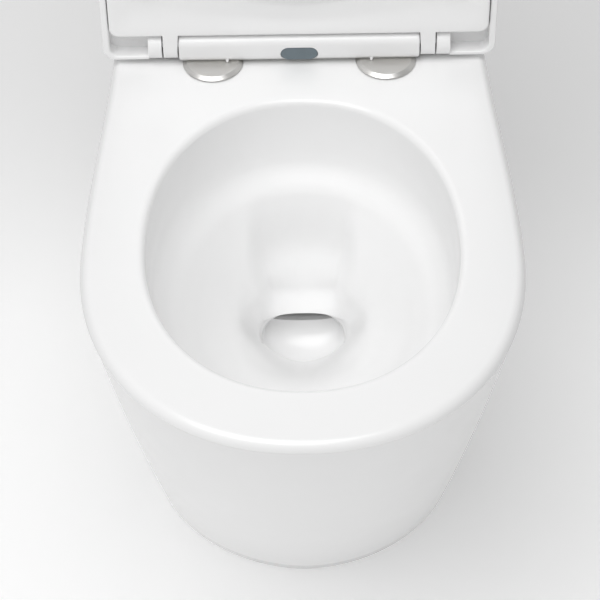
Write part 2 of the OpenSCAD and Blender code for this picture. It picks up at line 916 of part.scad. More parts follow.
module seat_buffers() {
  color("#e3e3e1") raised() both_sides() for (p = [[135, 70], [95, 370]])
    translate([p[0], front_y(p[1]), 0]) rod(9, rim_h + 0.4, ring_z0);
}

// ---------- lid ----------
lid_skirt_z = axis_z - 9;
lid_in_z = axis_z + 16;
lid_out_z = lid_in_z + 5;
lid_back = -axis_set_back - 11.5;
lid_front = front_to_holes + 6;

function lid_line(inset, z) = d_ring(lid_back + inset, rim_mid, lid_front - inset,
  lid_hw - inset, lid_hw + flare_w - inset, 60, 12 - min(inset, 8), 2.15, z);

function lid_inner_line(z) = d_ring(lid_back + 4, rim_mid, lid_front - lid_wall,
  lid_hw - lid_wall, lid_hw + flare_w - lid_wall, 60, 8, 2.15, z);

module lid_shell() {
  soft = 6;
  difference() {
    loft(concat(
      [lid_line(1, lid_skirt_z), lid_line(0, lid_skirt_z + 1)],
      [for (a = [0:22.5:90]) lid_line(soft * (1 - cos(a)), lid_out_z - soft * (1 - sin(a)))]
    ));
    loft([lid_inner_line(lid_skirt_z - 1), lid_inner_line(lid_in_z)]);
    translate([-lug_out, front_y(10), lid_skirt_z - 5])
      cube([2 * lug_out, 50, lid_in_z - lid_skirt_z + 5]);
  }
}

module lid_lug(x0, bore) {
  width = lug_out - lug_in;
  translate([x0, axis_y, axis_z]) difference() {
    union() {
      rod_x(bar_half, 0, width);
      translate([0, -bar_half, 0]) cube([width, 2 * bar_half, 17]);
    }
    rod_x(bore, -1, width + 1);
  }
}

module seat_lid() {
  size_x = 2 * (lid_hw + flare_w);
  color(plastic) raised() {
    resize([size_x, lid_front - lid_back, lid_out_z - lid_skirt_z]) lid_shell();
    lid_lug(lug_in, shaft_r + run);
    lid_lug(-lug_out, shaft_r);
  }
}

module lid_buffers() {
  color("#e3e3e1") raised() both_sides() for (p = [[150, 90], [110, 370]])
    translate([p[0], front_y(p[1]), 0]) rod(8, ring_z1 + 0.4, lid_in_z);
}

// ---------- floor fixings ----------
bracket_x = 140;

module floor_brackets() {
  color(steel) both_sides() translate([0, bracket_y, 0]) {
    difference() {
      translate([bracket_x - 45, -20, 0]) cube([45, 40, 3]);
      translate([bracket_x - 25, 0, -1]) cylinder(r = 4.5, h = 6);
    }
    difference() {
      translate([bracket_x - 3, -20, 0]) cube([3, 40, 62]);
      translate([0, 0, bracket_z]) rod_x(3, bracket_x - 5, bracket_x + 5);
    }
  }
}

module side_screws() {
  x1 = foot_back_w / 2 - 0.3;
  color(steel) both_sides() translate([0, bracket_y, bracket_z]) {
    rod_x(3, bracket_x - 10, x1);
    rod_x(5, x1 - 4, x1);
  }
}

module side_caps() {
  x0 = foot_back_w / 2 + 1.6;
  color(plastic) both_sides() translate([x0, bracket_y, bracket_z]) rotate([0, 90, 0])
    cylinder(r1 = 10, r2 = 8.5, h = 2.4);
}

pan();
cistern_tank();
coupling_gasket();
cistern_bolts();
cistern_bolt_washers();
cistern_bolt_plates();
cistern_wing_nuts();
cistern_lid();
button_bezel();
bezel_nut();
flush_button_full();
flush_button_half();
full_flush_rod();
half_flush_rod();
full_button_spring();
half_button_spring();
flush_valve_body();
flush_valve_washer();
flush_valve_nut();
full_flush_lever();
half_flush_lever();
lever_pins();
flush_tube();
flush_seal();
fill_valve_body();
fill_valve_washer();
fill_valve_nut();
float_cup();
float_link();
float_arm();
float_arm_pin();
hinge_gaskets();
hinge_discs();
hinge_posts();
hinge_studs();
hinge_washers();
hinge_nuts();
hinge_bar_shell();
hinge_bar_base();
release_button();
release_spring();
latch_left();
latch_right();
seat_damper();
lid_damper();
seat_ring();
seat_buffers();
seat_hinge_shaft();
seat_lid();
lid_buffers();
lid_hinge_shaft();
floor_brackets();
side_screws();
side_caps();
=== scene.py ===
# %% [markdown]
# # A close coupled toilet in glazed china
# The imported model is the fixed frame: every size and place below is read from it. The hidden
# fittings keep their CAD shapes and only get a finish. What the eye lands on (the pan, the
# cistern, the seat, the lid, the hinge bar and the chrome) is drawn again as fine, smooth
# surfaces, because china and moulded plastic show every facet in their reflections.

import json
import math

import bmesh
import bpy
import numpy as np
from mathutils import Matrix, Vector


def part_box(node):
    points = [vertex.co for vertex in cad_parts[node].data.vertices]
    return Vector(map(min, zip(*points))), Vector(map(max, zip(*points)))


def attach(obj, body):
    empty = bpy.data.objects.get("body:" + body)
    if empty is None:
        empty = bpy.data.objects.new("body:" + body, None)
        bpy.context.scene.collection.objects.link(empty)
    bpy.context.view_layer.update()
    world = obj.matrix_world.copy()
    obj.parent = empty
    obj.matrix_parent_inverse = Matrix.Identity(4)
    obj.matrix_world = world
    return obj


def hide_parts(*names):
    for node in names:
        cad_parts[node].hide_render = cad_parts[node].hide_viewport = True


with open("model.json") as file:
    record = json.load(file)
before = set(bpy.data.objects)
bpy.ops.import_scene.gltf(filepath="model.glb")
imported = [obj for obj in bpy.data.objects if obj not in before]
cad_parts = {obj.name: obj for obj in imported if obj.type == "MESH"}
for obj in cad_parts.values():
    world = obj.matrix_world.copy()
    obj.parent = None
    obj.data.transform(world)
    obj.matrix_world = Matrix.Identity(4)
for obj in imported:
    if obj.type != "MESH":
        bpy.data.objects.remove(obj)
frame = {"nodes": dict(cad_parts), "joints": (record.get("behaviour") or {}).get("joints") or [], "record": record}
nodes = frame["nodes"]
joints = {j["name"]: j for j in frame["joints"]}
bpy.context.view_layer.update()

# %% [markdown]
# ## Driving sizes
# The frame gives the boxes of the parts and the axis of the hinge. Everything is in metres,
# with the front towards -Y. Most outlines are easier to think of as "so far in front of the
# seat's hinge holes", so one small function turns that distance into y.

# %% Sizes from the frame
MM = 0.001
pan_low, pan_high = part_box("pan")
disc_low, disc_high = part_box("hinge_discs")
bar_low, bar_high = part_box("hinge_bar_shell")
tank_low, tank_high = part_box("cistern_tank")
top_low, top_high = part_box("cistern_lid")
RIM_Z = pan_high.z
RIM_HW = pan_high.x
Y_BACK = pan_high.y
HOLES_Y = (disc_low.y + disc_high.y) / 2
DISC_R = (disc_high.y - disc_low.y) / 2
HOLES_X = disc_high.x - DISC_R
AXIS_Y, AXIS_Z = joints["lid_hinge"]["pos_m"][1:]
RAISED = math.radians(joints["lid_hinge"]["range_deg"][1])
FRONT = HOLES_Y - pan_low.y
BACK = HOLES_Y - Y_BACK


def forward(d):
    """y of a place that is d metres in front of the hinge holes."""
    return HOLES_Y - d


print(f"rim {2 * RIM_HW:.3f} wide, {FRONT:.3f} from the holes to the front, axis z {AXIS_Z:.4f}")

# %% [markdown]
# ## From arrays to meshes
# A smooth shell is a stack of closed rings with the same number of points. `skin` joins each
# ring to the next one with four-sided faces, all at once with index arrays. If the stack
# itself closes (the last ring meets the first) the result is a tube bent back into itself,
# like a ring doughnut; otherwise a single point closes each end.


# %% Mesh helpers
def strip_faces(rings, columns, close_stack=False):
    """Quads of a stack of closed rings. Corner order: (k, i), (k, i+1), (k+1, i+1), (k+1, i),
    where i runs round a ring and k runs along the stack."""
    k = np.arange(rings if close_stack else rings - 1)[:, None]
    i = np.arange(columns)[None, :]
    here, there = k * columns, ((k + 1) % rings) * columns
    nxt = (i + 1) % columns
    return np.stack([here + i, here + nxt, there + nxt, there + i], -1).reshape(-1, 4)


def fan_faces(pole, first, columns, flip):
    """Triangles from one pole point to a ring whose points start at index first."""
    i = np.arange(columns)
    a, b = first + i, first + (i + 1) % columns
    if flip:
        a, b = b, a
    return np.stack([np.full(columns, pole), a, b], -1)


def shade(mesh, sharp):
    """Smooth shading everywhere, but edges over `sharp` degrees stay crisp."""
    mesh.polygons.foreach_set("use_smooth", np.ones(len(mesh.polygons), bool))
    mesh.set_sharp_from_angle(angle=math.radians(sharp))


def linked(name, data):
    """New object in the scene, made from its data."""
    obj = bpy.data.objects.new(name, data)
    bpy.context.scene.collection.objects.link(obj)
    return obj


def coordinates(mesh):
    """Vertex positions as an (n, 3) array."""
    co = np.empty(len(mesh.vertices) * 3)
    mesh.vertices.foreach_get("co", co)
    return co.reshape(-1, 3)


def make_object(name, points, face_sets, sharp=40):
    """Mesh object from an (n, 3) array and arrays of faces."""
    mesh = bpy.data.meshes.new(name)
    faces = [f for group in face_sets for f in group.tolist()]
    mesh.from_pydata(points.tolist(), [], faces)
    mesh.validate()
    shade(mesh, sharp)
    mesh.update()
    return linked(name, mesh)


def skin(name, stack, sharp=40, closed=False):
    """Closed skin over a (rings, columns, 3) stack. Open stacks get a pole at each end."""
    rings, columns = stack.shape[:2]
    points = stack.reshape(-1, 3)
    faces = [strip_faces(rings, columns, closed)]
    if not closed:
        ends = stack[[0, -1]].mean(axis=1)
        points = np.concatenate([points, ends])
        total = rings * columns
        faces.append(fan_faces(total, 0, columns, True))
        faces.append(fan_faces(total + 1, total - columns, columns, False))
    obj = make_object(name, points, faces, sharp)
    print(f"{name}: {len(obj.data.polygons)} faces")
    return obj


def weld(obj, reach=1e-5, sharp=40):
    """Joins points that lie within `reach` of each other; drops what that leaves without area."""
    work = bmesh.new()
    work.from_mesh(obj.data)
    bmesh.ops.remove_doubles(work, verts=work.verts, dist=reach)
    bmesh.ops.dissolve_degenerate(work, edges=work.edges, dist=reach / 10)
    bmesh.ops.delete(work, geom=[v for v in work.verts if not v.link_faces], context="VERTS")
    loose_edges = sum(not e.is_manifold for e in work.edges)
    work.to_mesh(obj.data)
    work.free()
    shade(obj.data, sharp)
    print(f"{obj.name}: {len(obj.data.polygons)} faces, {loose_edges} open edges")
    return obj


def join_shells(name, parts, sharp=40):
    """One object from several closed shells, each given as an object that is then removed."""
    points, faces, offset = [], [], 0
    for part in parts:
        points.append(coordinates(part.data))
        faces += [[v + offset for v in p.vertices] for p in part.data.polygons]
        offset += len(points[-1])
        bpy.data.objects.remove(part)
    mesh = bpy.data.meshes.new(name)
    mesh.from_pydata(np.concatenate(points).tolist(), [], faces)
    shade(mesh, sharp)
    return linked(name, mesh)


def cut(obj, cutter, sharp=40):
    """Takes the cutter's volume out of obj for good, then removes the cutter."""
    change = obj.modifiers.new("cut", "BOOLEAN")
    change.object = cutter
    change.solver = "EXACT"
    bpy.context.view_layer.update()
    graph = bpy.context.evaluated_depsgraph_get()
    result = bpy.data.meshes.new_from_object(obj.evaluated_get(graph))
    obj.modifiers.clear()
    obj.data = result
    shade(result, sharp)
    bpy.data.objects.remove(cutter)
    return obj


# %% [markdown]
# ## Outlines
# Sanitaryware is drawn from a few kinds of outline. The pan, seat and lid are D shapes: a
# straight back, sides that widen gently and a super-elliptic front, where
# |x/a|^p + |y/b|^p = 1 and a power p a little above 2 makes the curve fuller than an ellipse.
# The bowl's opening is an egg: two super-elliptic halves joined at the widest line.


# %% Outline functions
def smooth(t):
    """Smooth step: 3t^2 - 2t^3 between 0 and 1."""
    t = np.clip(t, 0, 1)
    return t * t * (3 - 2 * t)


def whole(half):
    """Ring (x, d) from a half outline that starts at the back centre and ends at the front."""
    left = half * [-1, 1]
    right = half[-2:0:-1]
    return np.concatenate([left, right])


D_BACK, D_END, D_CORNER, D_SIDE, D_BOW = 14, 4, 9, 40, 46


def stations(*stops):
    """Places along a straight edge: even steps between stops given as (place, steps) pairs. A
    stop that is given twice makes two points at one place, where a step or a tab can start."""
    runs = [np.linspace(a, b, n, endpoint=False) for (a, n), (b, _) in zip(stops[:-1], stops[1:])]
    return np.concatenate(runs)


def d_outline(back, mid, front, hw_back, hw_mid, flare, corner, power, edge):
    """D outline in (x, d): half the back at the places in `edge`, a round corner, the side from
    hw_back to hw_mid by a smooth step that starts at `flare`, and then the bow,
    x = hw cos(a)^(2/p), d = mid + (front - mid) sin(a)^(2/p)."""
    start = back + corner
    a = np.linspace(0, np.pi / 2, D_CORNER)
    side = np.linspace(start, mid, D_SIDE + 1)[1:]
    b = np.linspace(0, np.pi / 2, D_BOW + 1)[1:]
    x = np.concatenate([
        edge,
        hw_back - corner + corner * np.sin(a),
        hw_back + (hw_mid - hw_back) * smooth((side - flare) / (mid - flare)),
        hw_mid * np.cos(b).clip(0) ** (2 / power),
    ])
    d = np.concatenate([
        np.full(len(edge), back),
        start - corner * np.cos(a),
        side,
        mid + (front - mid) * np.sin(b) ** (2 / power),
    ])
    return whole(np.stack([x, d], -1))


def egg_at(bearings, centre, back, mid, front, hw, power, front_power=None):
    """Egg outline in (x, d) met by rays from (0, centre): the outline is sampled finely and
    looked up at each bearing, so its points line up with those of another ring. Its rear half
    has one power and its front half may have another."""
    t = np.linspace(0, np.pi, 721)
    reach = np.where(t < np.pi / 2, mid - back, front - mid)
    power = np.where(t < np.pi / 2, power, power if front_power is None else front_power)
    x = hw * np.sin(t).clip(0) ** (2 / power)
    d = mid - reach * np.sign(np.cos(t)) * np.abs(np.cos(t)) ** (2 / power)
    angle = np.unwrap(np.arctan2(x, centre - d))
    size = np.hypot(x, centre - d)
    fold = np.abs(bearings)
    r = np.interp(fold, angle, size)
    return np.stack([r * np.sin(fold) * np.sign(bearings), centre - r * np.cos(fold)], -1)


def level(outline, z):
    """Ring at height z from an outline in (x, d)."""
    return np.stack([outline[:, 0], forward(outline[:, 1]), np.broadcast_to(z, len(outline))], -1)


def bearings_of(outline, centre):
    """Signed angle of each outline point about (0, centre), 0 towards the back."""
    return np.arctan2(outline[:, 0], centre - outline[:, 1])


def between(stops, values, at):
    """Smooth curve through given values: cubic Hermite pieces with Catmull-Rom slopes."""
    stops, values = np.asarray(stops, float), np.asarray(values, float)
    slope = np.gradient(values, stops, axis=0)
    k = np.clip(np.searchsorted(stops, at, side="right") - 1, 0, len(stops) - 2)
    h = stops[k + 1] - stops[k]
    t = (at - stops[k]) / h
    shape = (-1,) + (1,) * (values.ndim - 1)
    t, h = t.reshape(shape), h.reshape(shape)
    return (
        (2 * t**3 - 3 * t**2 + 1) * values[k]
        + (t**3 - 2 * t**2 + t) * h * slope[k]
        + (3 * t**2 - 2 * t**3) * values[k + 1]
        + (t**3 - t**2) * h * slope[k + 1]
    )


# %% [markdown]
# ## Materials
# Vitreous china is a white body under clear glaze: a diffuse white with a sharp clear coat.
# It is never perfectly flat, so a very weak, wide noise bends the reflections a little. The
# seat is moulded plastic, slightly warmer and less sharp. Each material is one function that
# takes its numbers as constants and adds noise only where the surface really varies.


# %% Material helpers
def start_material(name, coordinate, stretch):
    """New Principled material, its tree and shader, and the stretched coordinate to read."""
    mat = bpy.data.materials.new(name)
    mat.use_nodes = True
    tree = mat.node_tree
    where = tree.nodes.new("ShaderNodeTexCoord")
    mapping = tree.nodes.new("ShaderNodeMapping")
    mapping.inputs["Scale"].default_value = stretch
    tree.links.new(where.outputs[coordinate], mapping.inputs["Vector"])
    return mat, tree, tree.nodes["Principled BSDF"], mapping.outputs["Vector"]


def noise(tree, where, size, detail):
    node = tree.nodes.new("ShaderNodeTexNoise")
    node.inputs["Scale"].default_value = size
    node.inputs["Detail"].default_value = detail
    tree.links.new(where, node.inputs["Vector"])
    return node.outputs["Fac"]


def vary(tree, shader, drift, colours, stops, rough):
    """Colour and roughness run between two values each as the noise drifts."""
    tint = tree.nodes.new("ShaderNodeValToRGB")
    for element, colour, stop in zip(tint.color_ramp.elements, colours, stops):
        element.position = stop
        element.color = (*colour, 1)
    tree.links.new(drift, tint.inputs["Fac"])
    tree.links.new(tint.outputs["Color"], shader.inputs["Base Color"])
    gloss = tree.nodes.new("ShaderNodeMapRange")
    gloss.inputs["To Min"].default_value, gloss.inputs["To Max"].default_value = rough
    tree.links.new(drift, gloss.inputs["Value"])
    tree.links.new(gloss.outputs["Result"], shader.inputs["Roughness"])


def relief(tree, shader, height, depth):
    """Fine bumps, depth metres high."""
    node = tree.nodes.new("ShaderNodeBump")
    node.inputs["Strength"].default_value = 1.0
    node.inputs["Distance"].default_value = depth
    tree.links.new(height, node.inputs["Height"])
    tree.links.new(node.outputs["Normal"], shader.inputs["Normal"])


def finish(name, colour, rough, spread=0.02, scale=30, bump=0.0, bump_scale=40, **fixed):
    """Principled material. Colour and roughness drift with object-space noise by `spread`, and
    `bump` metres of height come from a second noise. `fixed` sets shader sockets directly."""
    mat, tree, shader, where = start_material(name, "Object", (1, 1, 1))
    low, high = [[min(1, c * (1 + s * spread)) for c in colour] for s in (-1, 1)]
    drift = noise(tree, where, scale, 3)
    vary(tree, shader, drift, (low, high), (0.3, 0.7), (rough * 0.85, rough * 1.15))
    if bump:
        relief(tree, shader, noise(tree, where, bump_scale, 2), bump)
    for socket, value in fixed.items():
        shader.inputs[socket.replace("_", " ")].default_value = value
    return mat


def wear(obj, mat):
    """Gives an object one material on all of its faces."""
    obj.data.materials.clear()
    obj.data.materials.append(mat)
    return obj


# %% The finishes
glaze = finish("glazed_china", (0.955, 0.955, 0.955), 0.22, 0.006, 6, 0.00035, 5, IOR=1.52)
shell_white = finish("seat_plastic", (0.95, 0.95, 0.95), 0.225, 0.008, 20, 0.00008, 60, IOR=1.50)
inner_white = finish("inner_plastic", (0.72, 0.72, 0.70), 0.42, 0.03, 40, 0.00005, 300)
soft_rubber = finish("buffer_rubber", (0.62, 0.62, 0.61), 0.55, 0.04, 80, 0.00004, 500)
black_rubber = finish("black_rubber", (0.02, 0.02, 0.021), 0.6, 0.2, 90, 0.00005, 400)
steel = finish("zinc_plated_steel", (0.55, 0.56, 0.58), 0.32, 0.06, 120, 0.00001, 600, Metallic=1.0)
brass = finish("brass", (0.62, 0.46, 0.20), 0.30, 0.08, 90, 0.00001, 500, Metallic=1.0)
blue = finish("blue_plastic", (0.03, 0.12, 0.42), 0.40, 0.05, 60, 0.00004, 300)
button_grey = finish("button_plastic", (0.155, 0.197, 0.222), 0.30, 0.04, 90, 0.00003, 400)

# %% [markdown]
# Chrome that has been turned on a lathe carries fine circular lines. They follow the surface,
# so they are drawn on the piece's own UV map: u runs round the disc and v runs out from its
# centre. Noise stretched along u gives lines that go round.


# %% Turned chrome
def turned_chrome(name, colour, rough, line_depth):
    """Metal with circular tool lines: noise on UV, 260 lines across v and almost none along u."""
    mat, tree, shader, where = start_material(name, "UV", (3, 260, 1))
    lines = noise(tree, where, 1, 4)
    dark = [c * 0.9 for c in colour]
    vary(tree, shader, lines, (dark, colour), (0, 1), (rough * 0.7, rough * 1.3))
    relief(tree, shader, lines, line_depth)
    shader.inputs["Metallic"].default_value = 1.0
    return mat


chrome = turned_chrome("turned_chrome", (0.79, 0.78, 0.76), 0.36, 0.00002)
print("materials", len(bpy.data.materials))

# %% [markdown]
# ## The pan's outer wall
# The shroud is a leaning wall between two D outlines: the foot on the floor, and the rim. The
# wall between them is almost straight, with a slight belly, so each height mixes the two
# outlines. At the top a quarter circle turns the wall into the flat rim. The shroud is open at
# the back, where it stands against the room's wall, so the inner wall's outline is kept too.

# %% Outer wall rings
TOE = FRONT - 180 * MM
FOOT_HW, FOOT_BACK_HW = 143 * MM, 158 * MM
DECK_HW = 167 * MM
RIM_MID, TOE_MID = 240 * MM, 140 * MM
BELLY = 0.04
RIM_ROLL = 9 * MM
SHROUD = 13 * MM
WIDENING = -60 * MM
DECK_T = 16 * MM
UNDER_Z = RIM_Z - DECK_T


def wall_sizes(u, inset):
    """Widest line, front, half width at the back and at the widest line of the wall at height u
    (0 at the floor, 1 at the rim), drawn in by inset on its sides and front."""
    t = u + 4 * BELLY * u * (1 - u)
    mid = TOE_MID + (RIM_MID - TOE_MID) * t
    front = TOE + (FRONT - TOE) * t - inset
    hw_back = FOOT_BACK_HW + (DECK_HW - FOOT_BACK_HW) * t - inset
    hw_mid = FOOT_HW + (RIM_HW - FOOT_HW) * t - inset
    return mid, front, hw_back, hw_mid, 1.87 + 0.28 * t


def wall_outline(u, inset, back=BACK):
    """Outer wall's outline. Its back has a point where the inner wall meets it."""
    mid, front, hw_back, hw_mid, power = wall_sizes(u, inset)
    corner = 6 * MM
    mark = min(wall_sizes(u, SHROUD)[2], hw_back - corner - 0.5 * MM)
    edge = stations((0, D_BACK), (mark, D_END), (hw_back - corner, 0))
    return d_outline(back, mid, front, hw_back, hw_mid, WIDENING, corner, power, edge)


def cavity_outline(u):
    """Inner wall's outline with as many points: along the back to the inner wall, then straight
    forward along it with no corner, then the bow."""
    mid, front, mark, hw_mid, power = wall_sizes(u, SHROUD)
    edge = stations((0, D_BACK), (mark, 0))
    side = np.linspace(BACK, mid, D_END + D_CORNER + D_SIDE)
    b = np.linspace(0, np.pi / 2, D_BOW + 1)[1:]
    widen = smooth((side - WIDENING) / (mid - WIDENING))
    nose_x = hw_mid * np.cos(b).clip(0) ** (2 / power)
    nose_d = mid + (front - mid) * np.sin(b) ** (2 / power)
    x = np.concatenate([edge, mark + (hw_mid - mark) * widen, nose_x])
    d = np.concatenate([np.full(D_BACK, BACK), side, nose_d])
    return whole(np.stack([x, d], -1))


levels = np.concatenate([[0], np.linspace(1.5 * MM, UNDER_Z, 22), [RIM_Z - RIM_ROLL]])
foot_ease = np.where(levels == 0, 1.5 * MM, 0)
outer = [level(wall_outline(z / RIM_Z, e), z) for z, e in zip(levels, foot_ease)]
roll = np.linspace(0, np.pi / 2, 12)[1:]
for a in roll:
    inset = RIM_ROLL * (1 - math.cos(a))
    outer.append(level(wall_outline(1, inset, BACK + inset), RIM_Z - RIM_ROLL * (1 - math.sin(a))))
rim_line = wall_outline(1, RIM_ROLL, BACK + RIM_ROLL)
CENTRE = 205 * MM
bearings = bearings_of(rim_line, CENTRE)
print("outer rings", len(outer), "columns", len(rim_line))

# %% [markdown]
# ## The bowl
# Each level of the bowl is an egg outline. A handful of listed sections, from the rim to the sump,
# say how far back, forward and wide the bowl is there; a smooth curve through them fills in the
# rest. The wall stands nearly upright below the rim, then turns in at a soft ledge. Down the rear
# slope a shallow trough leads the water to the sump.

# %% Bowl rings
INNER_ROLL = 6.5 * MM
MOUTH_BACK, MOUTH_MID, MOUTH_FRONT, MOUTH_HW = 47 * MM, 225 * MM, 394.5 * MM, 136.5 * MM
MOUTH_POWER = 2.15
bowl_sections = np.array([
    # depth, back, widest line, front, half width
    [6.5, 53.5, 225, 388, 130],
    [20, 54.5, 225, 387, 129.5],
    [45, 56.5, 225, 383, 127.5],
    [62, 58, 224, 375.5, 123.5],
    [72, 60, 222, 367.5, 118],
    [79, 65, 220, 361, 113.5],
    [85, 70.5, 218, 354, 109],
    [102, 76.5, 211, 333, 99],
    [122, 82, 200, 307, 89],
    [150, 89, 180, 264, 75],
    [180, 96, 158, 221, 60.5],
    [205, 100, 138, 186, 49.5],
    [222, 103, 124, 162, 42],
]) * MM


def bowl_at(depth, grow=0.0):
    """Egg outline of the bowl at a depth below the rim, grown by `grow` all round."""
    back, mid, front, hw = between(bowl_sections[:, 0], bowl_sections[:, 1:], np.array([depth]))[0]
    power = MOUTH_POWER - 0.15 * smooth(np.array((depth - 0.06) / 0.12))
    near_sump = smooth(np.array((depth - 0.18) / 0.042))
    centre = CENTRE + (mid - CENTRE) * smooth(np.array((depth - 0.06) / 0.1))
    return egg_at(bearings, float(centre), back - grow, mid, front + grow, hw + grow,
                  power + 0.7 * near_sump, power - 0.25 * near_sump)


def trough(outline, depth):
    """Pushes the rear of a bowl outline back by up to 15 mm in the middle, fading out over 15 mm
    to each side. The push starts 84 mm deep, is full at 170 mm and falls back to 10 mm at the
    sump, and the trough narrows on its way down."""
    x, d = outline[:, 0], outline[:, 1]
    half = (37 - 9 * smooth(np.array((depth - 130 * MM) / (85 * MM)))) * MM
    across = 1 - smooth((np.abs(x) - half) / (15 * MM))
    rear = smooth((np.median(d) - d) / (20 * MM))
    fade = smooth(np.array((depth - 84 * MM) / (86 * MM)))
    push = (15 - 5 * smooth(np.array((depth - 150 * MM) / (70 * MM)))) * MM * fade
    return np.stack([x, d - push * across * rear], -1)


def mouth(inset):
    """Outline of the bowl's mouth, drawn in by inset."""
    return egg_at(bearings, CENTRE, MOUTH_BACK + inset, MOUTH_MID, MOUTH_FRONT - inset,
                  MOUTH_HW - inset, MOUTH_POWER)


bowl = []
opening = mouth(0)
for t in (0.25, 0.5, 0.75, 0.9, 0.97):
    bowl.append(level(rim_line + (opening - rim_line) * t, RIM_Z))
for a in np.linspace(0, np.pi / 2, 10)[:-1]:
    g = INNER_ROLL * math.sin(a)
    bowl.append(level(mouth(g), RIM_Z - INNER_ROLL * (1 - math.cos(a))))
for depth in np.concatenate([np.linspace(INNER_ROLL / MM, 24, 7), np.linspace(27, 222, 50)]) * MM:
    bowl.append(level(trough(bowl_at(depth), depth), RIM_Z - depth))
print("bowl rings", len(bowl))

# %% [markdown]
# ## The sump and the trapway
# Water leaves the bowl by turning under a lip, like a page about its spine: each ring of the
# sump swings about the lip, from lying flat to standing upright. From there the passage is a
# bent tube along a centre line of arcs and straights: up over the weir, down, and out of the
# back at outlet height. The outside of the tube comes back the same way, 9 mm larger.

# %% Sump rings
around = bearings_of(bowl_at(222 * MM), 140 * MM)


def swing_ring(pivot_d, pivot_depth, near, farther, hw, angle, near_power=2.0, far_power=2.0):
    """Ring in a plane that passes through the pivot line along X and leans by `angle` from
    horizontal. It reaches from `near` to `farther` from the pivot. Each half is a superellipse,
    |x / hw|^n + |reach / half|^n = 1, squarer or more pointed as its power n is over or under 2."""
    middle, half = (near + farther) / 2, (farther - near) / 2
    sine, cosine = np.sin(around), np.cos(around)
    power = np.where(cosine > 0, near_power, far_power)
    norm = (np.abs(sine) ** power + np.abs(cosine) ** power) ** (-1 / power)
    reach = middle - half * cosine * norm
    d = pivot_d + reach * np.cos(angle)
    z = RIM_Z - pivot_depth - reach * np.sin(angle)
    return np.stack([hw * sine * norm, forward(d), z], -1)


LIP_D, LIP_DEPTH, LIP_R = 87 * MM, 226 * MM, 6 * MM
swings = np.linspace(0, np.pi / 2, 15)[1:]
sump = [
    swing_ring(LIP_D, LIP_DEPTH, LIP_R, (75 - 54 * s ** 1.6) * MM, (41.5 - 5.5 * s) * MM,
               s * np.pi / 2, 2.7 - 0.7 * s, 1.75 + 0.25 * s)
    for s in swings / (np.pi / 2)
]
print("sump rings", len(sump))


# %% The trapway's centre line
def trap_line(start_y, start_z, moves, step=5 * MM):
    """Centre line in the plane x = 0 from a list of (length, turn in radians) moves. Each move
    is an arc (or a straight if turn is 0), cut into short steps; gives y, z and heading."""
    y, z, heading = start_y, start_z, 0.0
    track = [(y, z, heading)]
    for length, turn in moves:
        count = max(2, int(round(length / step)))
        for _ in range(count):
            mid_heading = heading + turn / count / 2
            y += length / count * math.cos(mid_heading)
            z += length / count * math.sin(mid_heading)
            heading += turn / count
            track.append((y, z, heading))
    return np.array(track)


def arc_move(radius, degrees):
    """Length and turn of an arc."""
    return radius * abs(math.radians(degrees)), math.radians(degrees)


OUTLET_Y = Y_BACK - 32.5 * MM
OUTLET_Z, OUTLET_R = 180 * MM, 51 * MM
START_Y, START_Z = forward(LIP_D) + 4 * MM, RIM_Z - LIP_DEPTH - (LIP_R + 21 * MM) / 2
track = trap_line(START_Y, START_Z, [
    (4 * MM, 0), arc_move(44 * MM, 70), (40 * MM, 0), arc_move(42 * MM, -140), (6 * MM, 0),
    arc_move(50 * MM, 70),
])
track[:, 1] += (OUTLET_Z - track[-1, 1]) * smooth(np.linspace(0, 1, len(track)))
arcs_end = track[-1, 0]
tail = np.linspace(arcs_end, OUTLET_Y, 12)[1:]
track = np.concatenate([track, np.stack([tail, np.full(11, OUTLET_Z), np.zeros(11)], -1)])
print(f"trapway: {len(track)} rings, arcs end at y {arcs_end:.3f}, outlet at {OUTLET_Y:.3f}")


def tube_rings(track, half_w, half_h):
    """Ellipses square to the track: x = w sin b, and h cos b along the track's upward normal,
    which follows on from the last ring of the sump."""
    y, z, heading = (c[:, None] for c in track.T)
    lift = half_h[:, None] * np.cos(around)
    x = half_w[:, None] * np.sin(around)
    return np.stack([x, y - lift * np.sin(heading), z + lift * np.cos(heading)], -1)


# %% Passage and its outside
WALL = 9 * MM
run = np.linspace(0, 1, len(track))
at_spigot = track[:, 0] > 226 * MM
half_h = (7.5 + 19.5 * smooth(run / 0.25) + 15 * smooth((run - 0.66) / 0.16)) * MM
half_w = (36 + 6 * smooth((run - 0.55) / 0.25)) * MM
passage = list(tube_rings(track, half_w, half_h))
outside_w = np.where(at_spigot, OUTLET_R, half_w + WALL)
outside_h = np.where(at_spigot, OUTLET_R, half_h + WALL)
outside = list(tube_rings(track, outside_w, outside_h))[:6:-1]
print("passage rings", len(passage), "outside rings", len(outside))

# %% [markdown]
# Behind the bowl's lip the outside of the china turns the same way as the inside, about a line
# a little higher up. Then it climbs round the bowl, 11 mm outside its inner face, runs flat
# under the deck, and drops down the inside of the shroud to the floor, where it meets the
# first ring again. So the whole pan, with its trapway, is one closed skin.

